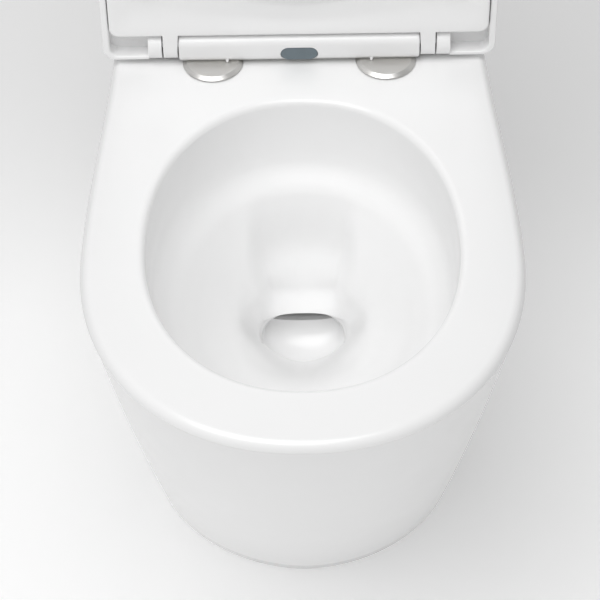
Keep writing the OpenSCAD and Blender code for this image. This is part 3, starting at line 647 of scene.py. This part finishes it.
# %% The hidden side of the china
SHELL = 11 * MM
CROTCH_D, CROTCH_DEPTH = 72.5 * MM, 200 * MM
back_swing = [
    swing_ring(CROTCH_D, CROTCH_DEPTH, (7.5 + 11.9 * s) * MM, (124.5 - 51.1 * s) * MM,
               (57.8 - 12.8 * s) * MM, s * np.pi / 2)
    for s in np.linspace(1, 0, 13)
]
under_bowl = [
    level(trough(bowl_at(depth, SHELL), depth), RIM_Z - depth)
    for depth in np.linspace(196 * MM, DECK_T, 30)
]
cavity_levels = levels[levels <= UNDER_Z + 1e-9][::-1]
cavity = [level(cavity_outline(z / RIM_Z), z) for z in cavity_levels]
under_deck = [under_bowl[-1] + (cavity[0] - under_bowl[-1]) * t for t in (0.2, 0.5, 0.8, 0.97)]
lip_end = [outside[0] + (passage[-1] - outside[0]) * t for t in (0.85, 0.5, 0.15)]
pan_stack = np.array(
    outer + bowl + sump + passage + lip_end + outside
    + back_swing + under_bowl + under_deck + cavity
)
print("pan rings", len(pan_stack))


# %% The pan's skin
def open_back(stack, name):
    """Closed skin over the stack, without the two coincident sheets across the open back: the
    faces whose four corners lie in the back plane, below the deck and inside the inner wall."""
    rings, columns = stack.shape[:2]
    faces = strip_faces(rings, columns, True)
    points = stack.reshape(-1, 3)
    corner_x = np.abs(points[faces, 0])
    hole_x = wall_sizes(points[faces, 2] / RIM_Z, SHROUD)[2]
    in_hole = (
        (np.abs(points[faces, 1] - Y_BACK) < 1e-6)
        & (points[faces, 2] < UNDER_Z + 1e-6)
        & (corner_x < hole_x + 1e-6)
    ).all(axis=1)
    return weld(make_object(name, points, [faces[~in_hole]]))


pan = open_back(pan_stack, "pan_china")
wear(pan, glaze)
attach(pan, "root")
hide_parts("pan")
print("pan", len(pan.data.polygons), "faces")

# %% [markdown]
# ## The cistern
# Tank and lid are soft boxes of china. Each is a stack of rounded rectangles whose corners
# have many points, so that the long soft corner catches light as one clean line.


# %% Rounded boxes
def box_ring(hw, y0, y1, r, z, n=12, m=10):
    """Rounded rectangle at height z: four quarter circles of radius r with straights between."""
    a = np.linspace(0, np.pi / 2, n)
    arc = np.stack([np.sin(a), np.cos(a)], -1) * r
    t = np.linspace(0, 1, m, endpoint=False)[1:, None]
    centres = np.array([[hw - r, y1 - r], [hw - r, y0 + r], [r - hw, y0 + r], [r - hw, y1 - r]])
    turns = [arc, arc[:, ::-1] * [1, -1], -arc, arc[:, ::-1] * [-1, 1]]
    parts = []
    for k in range(4):
        here = centres[k] + turns[k]
        there = centres[(k + 1) % 4] + turns[(k + 1) % 4]
        parts += [here, here[-1] + (there[0] - here[-1]) * t]
    ring = np.concatenate(parts)[::-1]
    return np.concatenate([ring, np.full((len(ring), 1), z)], -1)


def quarter(r, n, rising=True):
    """Points of a quarter circle as (inset, drop) pairs: inset r(1 - cos a), drop r(1 - sin a)."""
    a = np.linspace(0, np.pi / 2, n)
    pairs = np.stack([r * (1 - np.cos(a)), r * (1 - np.sin(a))], -1)
    return pairs if rising else pairs[::-1]


# %% Tank
TANK_T = 9 * MM
tank_hw = tank_high.x
base_hw = tank_hw - 7 * MM
tz0, tz1 = tank_low.z, tank_high.z
ty0, ty1 = tank_low.y, tank_high.y


def tank_ring(u, inset, r=20 * MM):
    """Tank outline at height u, 0 at the base and 1 at the top, drawn in by inset."""
    hw = base_hw + (tank_hw - base_hw) * u - inset
    front = ty0 + 4 * MM * (1 - u) + inset
    return box_ring(hw, front, ty1 - inset, max(r - inset, 4 * MM), tz0 + (tz1 - tz0) * u)


def at_height(ring, z):
    ring[:, 2] = z
    return ring


tank_rings = []
for inset, drop in quarter(7 * MM, 8, rising=False):
    tank_rings.append(at_height(tank_ring(0, inset), tz0 + drop))
tank_rings += [tank_ring(u, 0) for u in np.linspace(0.03, 1 - 2 * MM / (tz1 - tz0), 12)]
tank_rings += [tank_ring(1, 0.7 * MM), tank_ring(1, TANK_T - 0.7 * MM)]
tank_rings += [tank_ring(u, TANK_T) for u in np.linspace(0.99, 0.05, 10)]
for inset, drop in quarter(10 * MM, 6):
    tank_rings.append(at_height(tank_ring(0, TANK_T + inset), tz0 + TANK_T + drop))
tank = skin("cistern_tank_china", np.array(tank_rings))
wear(tank, glaze)
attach(tank, "root")
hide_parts("cistern_tank")

# %% Cistern lid
BUTTON_Y = (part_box("button_bezel")[0].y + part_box("button_bezel")[1].y) / 2
lz0, lz1 = top_low.z, top_high.z


def lid_ring(inset, z, r=22 * MM):
    front, back = top_low.y + inset, top_high.y - inset
    return box_ring(top_high.x - inset, front, back, max(r - inset, 5 * MM), z)


def hole_ring(r, z):
    """Circle round the push button, with its points at the bearings of the lid's outline."""
    outline = lid_ring(0, z)
    turn = np.arctan2(outline[:, 1] - BUTTON_Y, outline[:, 0])
    return np.stack([r * np.cos(turn), BUTTON_Y + r * np.sin(turn), np.full(len(turn), z)], -1)


def spread(a, b, shares):
    """Rings between ring a and ring b."""
    return [a + (b - a) * t for t in shares]


LID_ROLL, LID_WALL, PLATE, LID_HOLE = 7 * MM, 8 * MM, 10 * MM, 25 * MM
DRAFT = 0.6 * MM
shares = (0.15, 0.4, 0.7, 0.92)
lid_rings = [lid_ring(inset * MM, lz0 + up * MM) for inset, up in ((2.5, 0), (1, 0.6), (0.6, 2))]
for t in (0.3, 0.6, 0.9):
    lid_rings.append(lid_ring(DRAFT * (1 - t), lz0 + (lz1 - lz0 - LID_ROLL) * t))
lid_rings += [lid_ring(i, lz1 - d) for i, d in quarter(LID_ROLL, 10)]
lid_rings += spread(lid_rings[-1], hole_ring(LID_HOLE, lz1), shares) + [hole_ring(LID_HOLE, lz1)]
lid_rings += [hole_ring(LID_HOLE, lz1 - PLATE)]
inner_edge = lid_ring(LID_WALL + 4 * MM, lz1 - PLATE)
lid_rings += spread(lid_rings[-1], inner_edge, shares)
lid_rings += [lid_ring(LID_WALL + i, lz1 - PLATE - d) for i, d in quarter(4 * MM, 6, rising=False)]
lid_rings += [lid_ring(LID_WALL, lz0 + 1 * MM), lid_ring(LID_WALL - 0.7 * MM, lz0)]
cistern_lid = skin("cistern_lid_china", np.array(lid_rings), closed=True)
wear(cistern_lid, glaze)
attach(cistern_lid, "cistern_lid")
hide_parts("cistern_lid")

# %% [markdown]
# The flush water runs forward under the deck, from the valve to the rear of the bowl, through a
# flat duct of china. Seen from above it is a keyhole: a round end under the valve and a
# straight neck. It shows only from behind and below.

# %% Flush duct
duct_y = sum(corner.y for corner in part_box("flush_valve_nut")) / 2
DUCT_HW, DUCT_R, DUCT_SOFT = 44 * MM, 60 * MM, 6 * MM
DUCT_Z0, DUCT_Z1 = RIM_Z - 59 * MM, RIM_Z - DECK_T + 2 * MM
turns = np.linspace(0, 2 * np.pi, 240, endpoint=False)


def keyhole(inset, z):
    """Larger of a circle and a strip that runs forward, as a distance at each bearing."""
    side, ahead = np.abs(np.sin(turns)) + 1e-9, np.cos(turns).clip(1e-9)
    neck = np.minimum((DUCT_HW - inset) / side, (duct_y - forward(46 * MM) - inset) / ahead)
    r = np.maximum(DUCT_R - inset, np.where(np.cos(turns) > 0, neck, 0))
    return np.stack([r * np.sin(turns), duct_y - r * np.cos(turns), np.full(len(turns), z)], -1)


duct_rings = [keyhole(i, DUCT_Z0 + d) for i, d in quarter(DUCT_SOFT, 8, rising=False)]
duct_rings.append(keyhole(0, DUCT_Z1))
duct = skin("flush_duct_china", np.array(duct_rings))
wear(duct, glaze)
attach(duct, "root")
print("flush duct", len(duct.data.polygons), "faces")

# %% [markdown]
# ## Turned chrome
# The hinge discs and the flush button's bezel are turned parts: a profile spun about an
# upright axis. The profile is given as (radius, height) pairs and each pair makes one ring.
# The ring's angle and radius also become the UV map that the tool lines follow.


# %% Lathe
def lathe(name, profile, centre, steps=128, closed=False):
    """Skin of circles: x = r cos a, y = r sin a, z = height, for each (r, height) of a profile
    that goes up on the outside."""
    a = np.linspace(0, 2 * np.pi, steps, endpoint=False)
    r, h = (c[:, None] for c in np.asarray(profile).T)
    x, y = centre[0] + r * np.cos(a), centre[1] + r * np.sin(a)
    return skin(name, np.stack([x, y, np.broadcast_to(h, x.shape)], -1), closed=closed)


def polar_uv(obj, centre, pair=False):
    """UV map about an upright axis: u = angle / full turn, v = 20 x radius in metres. With
    `pair` the piece is two turned parts, at +x and -x of the centre."""
    mesh = obj.data
    at = np.empty(len(mesh.loops), int)
    mesh.loops.foreach_get("vertex_index", at)
    x, y = coordinates(mesh)[at, :2].T
    x, y = (np.abs(x) if pair else x) - centre[0], y - centre[1]
    uv = np.stack([np.arctan2(-x, y) / (2 * np.pi) + 0.5, 20 * np.hypot(x, y)], -1)
    mesh.uv_layers.new(name="turning").data.foreach_set("uv", uv.ravel())
    return obj


def softened(points, r=0.4 * MM, n=4):
    """Softens a profile: each inner corner becomes a short curve between two points near it,
    q(t) = (1-t)^2 a + 2t(1-t) corner + t^2 b."""
    points = np.asarray(points, float)
    out = [points[:1]]
    for before, corner, after in zip(points[:-2], points[1:-1], points[2:]):
        a = corner + (before - corner) * min(0.45, r / np.linalg.norm(before - corner))
        b = corner + (after - corner) * min(0.45, r / np.linalg.norm(after - corner))
        t = np.linspace(0, 1, n)[:, None]
        out.append((1 - t) ** 2 * a + 2 * t * (1 - t) * corner + t**2 * b)
    return np.concatenate(out + [points[-1:]])


# %% Hinge discs
d0, d1 = disc_low.z, disc_high.z
disc_profile = softened([
    (1 * MM, d0), (DISC_R - 0.6 * MM, d0), (DISC_R, d0 + 0.5 * MM), (DISC_R, d0 + 1.2 * MM),
    (DISC_R - 3.2 * MM, d1 - 0.5 * MM), (DISC_R - 3.7 * MM, d1 - 0.1 * MM), (DISC_R - 4.6 * MM, d1),
    (1 * MM, d1),
])
discs = join_shells("hinge_disc_pair", [
    lathe(f"disc_{side}", disc_profile, (side * HOLES_X, HOLES_Y)) for side in (-1, 1)
])
wear(polar_uv(discs, (HOLES_X, HOLES_Y), pair=True), chrome)
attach(discs, "root")
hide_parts("hinge_discs")

# %% Flush button bezel
bez_low, bez_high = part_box("button_bezel")
cap_low, cap_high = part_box("flush_button_full")
WELL_R, TUBE_R, FLANGE_R = 21.8 * MM, 24 * MM, bez_high.x
bezel_profile = softened([
    (WELL_R, bez_low.z + 3 * MM), (8 * MM, bez_low.z + 3 * MM), (8 * MM, bez_low.z),
    (TUBE_R, bez_low.z), (TUBE_R, lz1), (FLANGE_R, lz1), (FLANGE_R, lz1 + 1.6 * MM),
    (FLANGE_R - 2.5 * MM, bez_high.z), (WELL_R + 1 * MM, bez_high.z), (WELL_R, bez_high.z - 1 * MM),
    (WELL_R, bez_low.z + 10 * MM), (WELL_R, bez_low.z + 3.2 * MM),
], 0.8 * MM)
bezel = lathe("button_bezel_chrome", bezel_profile, (0, BUTTON_Y), closed=True)
wear(polar_uv(bezel, (0, BUTTON_Y)), chrome)
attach(bezel, "cistern_lid")
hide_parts("button_bezel")


# %% The two halves of the button
def half_button(name, x_edge, sign):
    """Part of a disc beyond the line x = x_edge: at each inset the outline is what is left of a
    circle of radius r - inset, closed by a chord. The top edge is a quarter circle."""
    def ring(inset, z):
        r = WELL_R - 0.5 * MM - inset
        chord = x_edge + sign * inset
        end = math.acos(np.clip(sign * chord / r, -1, 1))
        a = np.linspace(-end, end, 72)
        arc = np.stack([sign * r * np.cos(a), r * np.sin(a)], -1)
        back = np.linspace(arc[-1], arc[0], 26)[1:-1]
        line = np.concatenate([arc, back])
        if sign < 0:
            line = line[::-1]
        return np.concatenate([line + [0, BUTTON_Y], np.full((len(line), 1), z)], -1)

    top = [ring(i, cap_high.z - d) for i, d in quarter(1.2 * MM, 6)]
    dish = [ring(i, cap_high.z - h) for i, h in ((6 * MM, 0.25 * MM), (12 * MM, 0.5 * MM))]
    stack = [ring(0, cap_low.z)] + top + dish
    obj = skin(name, np.array(stack))
    return polar_uv(obj, (0, BUTTON_Y))


SPLIT, SPLIT_GAP = -3 * MM, 0.3 * MM
for body, sign in (("full_button", 1), ("half_button", -1)):
    cap = wear(half_button(f"{body}_cap", SPLIT + sign * SPLIT_GAP, sign), chrome)
    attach(cap, body)
    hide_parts("flush_button_full" if sign > 0 else "flush_button_half")

# %% [markdown]
# ## Seat ring and lid
# Both are drawn closed, where their levels are simple heights, and then turned up about the
# hinge axis by the same angle as in the model. The ring is a D outline with an egg-shaped hole;
# its underside is slightly dished between its two edges. Two arms reach round the hinge axis.
# They are not added on: the ring's own rear edge bulges out there, so that the underside runs
# on into the arm without a line, as in one moulding.


# %% Turning up and slabs
def raised(points):
    """Turns closed-seat points up about the hinge axis: the seat's front swings to the top."""
    y, z = points[..., 1] - AXIS_Y, points[..., 2] - AXIS_Z
    c, s = math.cos(-RAISED), math.sin(-RAISED)
    return np.stack([points[..., 0], AXIS_Y + c * y - s * z, AXIS_Z + s * y + c * z], -1)


def slab(name, outline, x0, x1, ease=0.5 * MM):
    """Closed skin of an outline in (y, z) carried from x0 to x1, with its end edges eased: the
    end rings shrink towards the outline's middle by `ease` along a quarter circle."""
    middle = outline.mean(axis=0)
    size = np.abs(outline - middle).max()
    rings = []
    for inset, drop in quarter(ease, 4, rising=False):
        rings.append((x0 + drop, 1 - inset / size))
    rings += [(x1 - (r[0] - x0), r[1]) for r in rings[::-1]]
    stack = [
        np.concatenate([np.full((len(outline), 1), x), middle + (outline - middle) * k], -1)
        for x, k in rings
    ]
    return skin(name, np.array(stack))


def arc_points(radius, start, stop, n):
    """Points (y, z) from the hinge axis on an arc, angles in degrees from the rear, upwards."""
    a = np.radians(np.linspace(start, stop, n))
    return np.stack([radius * np.cos(a), radius * np.sin(a)], -1)


# %% Seat ring
BAR_R = 13 * MM
RING_HW, FLARE_W, RING_FLARE = 167.8 * MM, 9 * MM, 60 * MM
RING_BACK, RING_FRONT = 7.5 * MM, FRONT - 1 * MM
RING_Z0, RING_T, RING_ROLL, RING_EASE = RIM_Z + 5 * MM, 22 * MM, 5 * MM, 2 * MM
RING_Z1 = RING_Z0 + RING_T
ARM_X = (108.5 * MM, 121 * MM)
DISH = 3.5 * MM
ring_edge = stations(
    (0, 14), (ARM_X[0], 1), (ARM_X[0], 6), (ARM_X[1], 1), (ARM_X[1], 5), (RING_HW - 13 * MM, 0)
)
HOLE_BACK, HOLE_MID, HOLE_FRONT, HOLE_HW = 49 * MM, 205 * MM, 372 * MM, 117 * MM


def ring_line(inset, z):
    outline = d_outline(RING_BACK + inset, RIM_MID, RING_FRONT - inset, RING_HW - inset,
                        RING_HW + FLARE_W - inset, RING_FLARE, 8 * MM, 2.15, ring_edge)
    return level(outline, z)


ring_bearings = bearings_of(d_outline(RING_BACK, RIM_MID, RING_FRONT, RING_HW, RING_HW + FLARE_W,
                                      RING_FLARE, 8 * MM, 2.15, ring_edge), CENTRE)


def hole_line(grow, z):
    outline = egg_at(ring_bearings, CENTRE, HOLE_BACK - grow, HOLE_MID, HOLE_FRONT + grow,
                     HOLE_HW + grow, MOUTH_POWER)
    return level(outline, z)


wall = [(RING_EASE * (1 - math.sin(a)), RING_Z0 + RING_EASE * (1 - math.cos(a)))
        for a in np.linspace(0, np.pi / 2, 6)]
wall += [(0, z) for z in np.linspace(RING_Z0 + 4 * MM, RING_Z1 - RING_ROLL - 1 * MM, 6)]
wall += [(i, RING_Z1 - d) for i, d in quarter(RING_ROLL, 9)]
outer_wall = np.array([ring_line(i, z) for i, z in wall])
columns = outer_wall.shape[1]
in_arm = np.zeros(columns, bool)
first, last = 15, 21
in_arm[first:last + 1] = True
in_arm[columns - last:columns - first + 1] = True
arm_curve = arc_points(BAR_R, -90, 90, len(outer_wall))
outer_wall[:, in_arm, 1] = AXIS_Y + arm_curve[:, :1]
outer_wall[:, in_arm, 2] = AXIS_Z + arm_curve[:, 1:]
print("arm columns at x", outer_wall[0, first:last + 1, 0])
top_edges = ring_line(RING_ROLL, RING_Z1), hole_line(RING_ROLL, RING_Z1)
top = spread(*top_edges, (0.06, 0.3, 0.5, 0.7, 0.94))
hole = [hole_line(i, RING_Z1 - d) for i, d in quarter(RING_ROLL, 9)[::-1]]
hole += [hole_line(0, z) for z in (RING_Z1 - 9 * MM, RING_Z0 + 5 * MM)]
hole += [hole_line(i, RING_Z0 + d) for i, d in quarter(RING_EASE, 6)]
under = []
for t in np.linspace(0, 1, 26)[1:-1]:
    ring = spread(hole_line(RING_EASE, RING_Z0), ring_line(RING_EASE, RING_Z0), (t,))[0]
    ring[:, 2] += DISH * float(smooth(t / 0.3) * smooth((1 - t) / 0.38))
    under.append(ring)
seat_stack = raised(np.concatenate([outer_wall, top, hole, under]))
seat_ring = weld(skin("seat_ring_shell", seat_stack, closed=True))
wear(seat_ring, shell_white)
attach(seat_ring, "seat")
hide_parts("seat_ring")

# %% [markdown]
# The lid is a shallow tray that wraps round the ring. Its skirt runs all the way round except
# at the rear, where the hinge bar and the seat's arms need room: there the skirt only stays
# outside the two lugs that hold the lid's own shaft. Beside each lug is a shallow pocket with a
# small rib across it.

# %% Lid
LUG_X = (122.5 * MM, 134.5 * MM)
LID_HW = 175.2 * MM
LID_SIDE, LID_REAR = 6.2 * MM, 4 * MM
SKIRT_Z, IN_Z = AXIS_Z - 9 * MM, AXIS_Z + 16 * MM
OUT_Z = IN_Z + 5 * MM
LID_BACK, LID_FRONT = HOLES_Y - AXIS_Y - 11.5 * MM, FRONT + 6 * MM
lid_edge = stations((0, 16), (LUG_X[1], 1), (LUG_X[1], 6), (LID_HW - 14 * MM, 0))
STEP = 17


def lid_line(inset, z, rear=None, corner=None):
    rear = inset if rear is None else rear
    corner = max(12 * MM - inset, 4 * MM) if corner is None else corner
    outline = d_outline(LID_BACK + rear, RIM_MID, LID_FRONT - inset, LID_HW - inset,
                        LID_HW + FLARE_W - inset, RING_FLARE, corner, 2.15, lid_edge)
    return level(outline, z)


centre_point = np.array([0, forward(215 * MM), 0])


def shrink(ring, share):
    """Ring drawn in towards the lid's middle, at its own height."""
    return ring + (centre_point + [0, 0, 1] * ring - ring) * share


LIP_EASE, LID_SOFT, INNER_CORNER = 1.6 * MM, 6 * MM, 8 * MM
plate_in = lid_line(LID_SIDE + 2 * MM, IN_Z, LID_REAR + 2 * MM, 6 * MM)
lid_stack = [shrink(plate_in, t) for t in (0.9, 0.6, 0.3, 0.08)] + [plate_in]
lid_stack += [lid_line(LID_SIDE + i, IN_Z - d, LID_REAR + i, INNER_CORNER)
              for i, d in quarter(2 * MM, 5, rising=False)]
lid_stack += [lid_line(LID_SIDE, z, LID_REAR, INNER_CORNER)
              for z in (IN_Z - 8 * MM, SKIRT_Z + 5 * MM)]
lid_stack += [lid_line(LID_SIDE - i, SKIRT_Z + d, LID_REAR - i, INNER_CORNER)
              for i, d in quarter(LIP_EASE, 5)]
lid_stack += [lid_line(i, SKIRT_Z + d) for i, d in quarter(LIP_EASE, 5, rising=False)]
lid_stack += [lid_line(0, z) for z in np.linspace(SKIRT_Z + 4 * MM, OUT_Z - LID_SOFT - 2 * MM, 6)]
lid_stack += [lid_line(i, OUT_Z - d) for i, d in quarter(LID_SOFT, 9)]
lid_stack += [shrink(lid_line(LID_SOFT, OUT_Z), t) for t in (0.08, 0.3, 0.6, 0.9)]
lid_stack = np.array(lid_stack)
columns = lid_stack.shape[1]
rear_gap = np.zeros(columns, bool)
rear_gap[:STEP] = rear_gap[columns - STEP + 1:] = True
lid_stack[:, rear_gap, 2] = np.maximum(lid_stack[:, rear_gap, 2], IN_Z)
tray = weld(skin("tray", raised(lid_stack)))
lug_outline = np.concatenate([
    arc_points(BAR_R, -180, 0, 33), np.array([[BAR_R, 17 * MM], [-BAR_R, 17 * MM]]),
]) + [AXIS_Y, AXIS_Z]


def oblong(y0, y1, z0, z1):
    """Corners of a rectangle in (y, z)."""
    return np.array([[y0, z0], [y1, z0], [y1, z1], [y0, z1]])


pocket_floor = oblong(forward(RING_BACK) + 4 * MM, AXIS_Y + 8 * MM, AXIS_Z + 6 * MM, IN_Z + 1 * MM)
rib_outline = oblong(117.0, 122.5, 429.5, 434.5) * MM
shells = [tray]
POCKET_X = (LUG_X[1] - 1 * MM, 170 * MM)
for side in (-1, 1):
    for part, outline, reach in (
        ("lug", lug_outline, LUG_X), ("floor", pocket_floor, POCKET_X),
        ("rib", rib_outline, POCKET_X),
    ):
        shells.append(slab(f"{part}_{side}", outline, *sorted(side * x for x in reach)))
for shell in shells[1:]:
    shell.data.vertices.foreach_set("co", raised(coordinates(shell.data)).ravel())
lid = join_shells("seat_lid_shell", shells)
wear(lid, shell_white)
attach(lid, "lid")
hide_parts("seat_lid")

# %% [markdown]
# ## Hinge bar
# The quick-release bar is a soft square tube with closed ends, open underneath for the posts.
# A pill-shaped window in its front shows the grey release button. The tube and its window are
# cut from a closed skin with Boolean steps, because only they give such crisp inner edges.


# %% Bar
def soft_square(half, r, n=14):
    """Square with round corners in (y, z), counter-clockwise seen from +X, about (0, 0)."""
    a = np.linspace(0, np.pi / 2, n)
    arcs = []
    for q, (sy, sz) in enumerate([(1, 1), (-1, 1), (-1, -1), (1, -1)]):
        turn = a + q * np.pi / 2
        y, z = sy * (half - r) + r * np.cos(turn), sz * (half - r) + r * np.sin(turn)
        arcs.append(np.stack([y, z], -1))
    return np.concatenate(arcs)


def pill_outline(hw, hh, n=24):
    """Pill in (x, z) about (0, 0): two half circles joined by straights."""
    a = np.linspace(-np.pi / 2, np.pi / 2, n)
    right = np.stack([hw - hh + hh * np.cos(a), hh * np.sin(a)], -1)
    return np.concatenate([right, -right])


def at_x(outline, x):
    """Ring at x from an outline in (y, z) about the hinge axis."""
    return np.concatenate([np.full((len(outline), 1), x), outline + [AXIS_Y, AXIS_Z]], -1)


def along_y(name, outline, y_rings):
    """Closed skin of an outline in (x, z) carried along Y; y_rings gives (y, inset) pairs."""
    size = np.abs(outline).max(axis=0)
    stack = [
        np.stack([x, np.full(len(outline), y), z], -1)
        for y, inset in y_rings
        for x, z in [(outline * (1 - inset / size)).T]
    ]
    stack = np.array(stack)
    stack[..., 2] += PILL_Z
    return skin(name, stack[::-1])


PILL_HW, PILL_HH = 16.5 * MM, 7 * MM
PILL_Z = RIM_Z + 13.5 * MM
BAR_WALL = 2.5 * MM
BAR_FRONT = bar_low.y
bar_ends = quarter(1.2 * MM, 5, rising=False)
bar_square = soft_square(BAR_R, 8 * MM)
bar_x = [(bar_low.x + d, 1 - i / BAR_R) for i, d in bar_ends]
bar_x += [(x, 1) for x in np.linspace(bar_low.x + 3 * MM, bar_high.x - 3 * MM, 20)]
bar_x += [(bar_high.x - d, 1 - i / BAR_R) for i, d in bar_ends[::-1]]
bar = skin("hinge_bar_tube", np.array([at_x(bar_square * k, x) for x, k in bar_x]))
inside_x = (bar_low.x + BAR_WALL, bar_high.x - BAR_WALL)
hollow = soft_square(BAR_R - BAR_WALL, 5.5 * MM, 8)
cut(bar, skin("inner", np.array([at_x(hollow, x) for x in inside_x])))
slot_low = oblong(-9, 9, -20, -9) * MM
cut(bar, skin("slot", np.array([at_x(slot_low, x) for x in inside_x])))
window = pill_outline(PILL_HW + 0.3 * MM, PILL_HH + 0.3 * MM)
cut(bar, along_y("window", window, [(BAR_FRONT - 5 * MM, 0), (BAR_FRONT + BAR_WALL + 3 * MM, 0)]))
NUB_X = 64.5 * MM
nubs = []
for side in (-1, 1):
    tip = np.array([side * NUB_X, BAR_FRONT + 0.6 * MM, RIM_Z + 4.7 * MM])
    base = np.array([side * NUB_X, BAR_FRONT + 4 * MM, RIM_Z + 9 * MM])
    a = np.linspace(0, 2 * np.pi, 16, endpoint=False)
    turn = np.stack([np.cos(a), -0.5 * np.sin(a), 0.5 * np.sin(a)], -1)
    cone = np.array([base + turn * 3 * MM, tip + turn * 0.7 * MM, tip + turn * 0.2 * MM])
    nubs.append(skin(f"nub_{side}", cone))
bar_shell = join_shells("hinge_bar_cover", [bar] + nubs, sharp=35)
wear(bar_shell, shell_white)
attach(bar_shell, "hinge_bar")
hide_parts("hinge_bar_shell")

# %% Release button
button_face = BAR_FRONT + 0.4 * MM
button_rings = [(button_face + 5 * MM, 0), (button_face + 1.2 * MM, 0)]
button_rings += [(button_face + d, i) for i, d in quarter(1.0 * MM, 6)]
button_rings += [(button_face + 0.15 * MM, 3 * MM), (button_face + 0.3 * MM, 6 * MM)]
pill = along_y("pill", pill_outline(PILL_HW, PILL_HH), button_rings)
wedge_low, wedge_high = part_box("latch_left")
tongue_plan = np.array([
    [-12, 2], [12, 2], [12, 4.3], [20, 6.5], [12, 14.5], [-12, 14.5], [-20, 6.5], [-12, 4.3],
]) * MM
tongue = np.stack([
    np.concatenate([tongue_plan + [0, BAR_FRONT], np.full((8, 1), z)], -1)
    for z in (wedge_low.z + 0.1 * MM, wedge_high.z - 0.1 * MM)
])
button = join_shells("release_button_pill", [pill, skin("tongue", tongue)])
wear(button, button_grey)
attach(button, "release_button")
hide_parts("release_button")

# %% [markdown]
# ## The fittings that keep their CAD shape
# Bolts, valves, springs and buffers are mostly hidden. Each node takes the finish of its
# material slot in the record.

# %% Finishes for the CAD nodes
by_slot = {
    "china": glaze, "seat_plastic": shell_white, "inner_plastic": inner_white,
    "buffer_rubber": soft_rubber, "black_rubber": black_rubber, "chrome": steel, "steel": steel,
    "brass": brass, "grey_plastic": button_grey, "blue_plastic": blue,
}
dressed = 0
for part in frame["record"]["subparts"]:
    node = nodes[part["node"]]
    if not node.hide_render:
        wear(node, by_slot[part["material_slot"]])
        dressed += 1
print("CAD nodes dressed", dressed)

# %% [markdown]
# ## Stage, light and camera
# A pale floor that runs far back and glows a little, a large soft light from above and in front,
# a weak one towards the seat, and an even grey surrounding. The camera looks down at 46.5
# degrees through a long lens, so that upright edges stay almost parallel.

# %% Floor
FLOOR, FLOOR_Z = 12.0, -0.0004
corners = [(x * FLOOR, y * FLOOR, FLOOR_Z) for x, y in ((-1, -1), (1, -1), (1, 1), (-1, 1))]
floor = bpy.data.meshes.new("floor")
floor.from_pydata(corners, [], [(0, 1, 2, 3)])
floor_piece = linked("floor", floor)
glow = {"Emission_Color": (1, 1, 1, 1), "Emission_Strength": 0.2}
wear(floor_piece, finish("pale_floor", (0.93, 0.93, 0.93), 0.7, 0.004, 3, **glow))

# %% Lights
world = bpy.data.worlds.new("studio")
bpy.context.scene.world = world
world.use_nodes = True
world.node_tree.nodes["Background"].inputs["Color"].default_value = (1, 1, 1, 1)
world.node_tree.nodes["Background"].inputs["Strength"].default_value = 0.30


def soft_light(name, place, target, size, power):
    """Square area light at a place, turned towards a target."""
    data = bpy.data.lights.new(name, "AREA")
    data.shape, data.size, data.energy = "SQUARE", size, power
    lamp = linked(name, data)
    lamp.location = place
    lamp.rotation_euler = (Vector(target) - Vector(place)).to_track_quat("-Z", "Y").to_euler()


soft_light("overhead", (-0.33, -0.68, 2.3), (0, 0, 0.4), 1.6, 27)
soft_light("seat_fill", (-0.2, -0.8, 1.5), (0, 0.25, 0.5), 1.6, 2.4)
bpy.context.scene.view_settings.view_transform = "Standard"
bpy.context.scene.view_settings.look = "None"

# %% Camera
camera = linked("camera", bpy.data.cameras.new("camera"))
SENSOR, FOCAL, PITCH, ROLL = 36, 2084 / 600, 46.5, -0.85
camera.data.lens = SENSOR * FOCAL
camera.data.sensor_width = SENSOR
camera.location = (-0.0026, HOLES_Y - 1.4436, RIM_Z + 1.2108)
camera.rotation_euler = (math.radians(90 - PITCH), 0, 0)
camera.rotation_euler.rotate_axis("Z", math.radians(ROLL))
bpy.context.scene.camera = camera
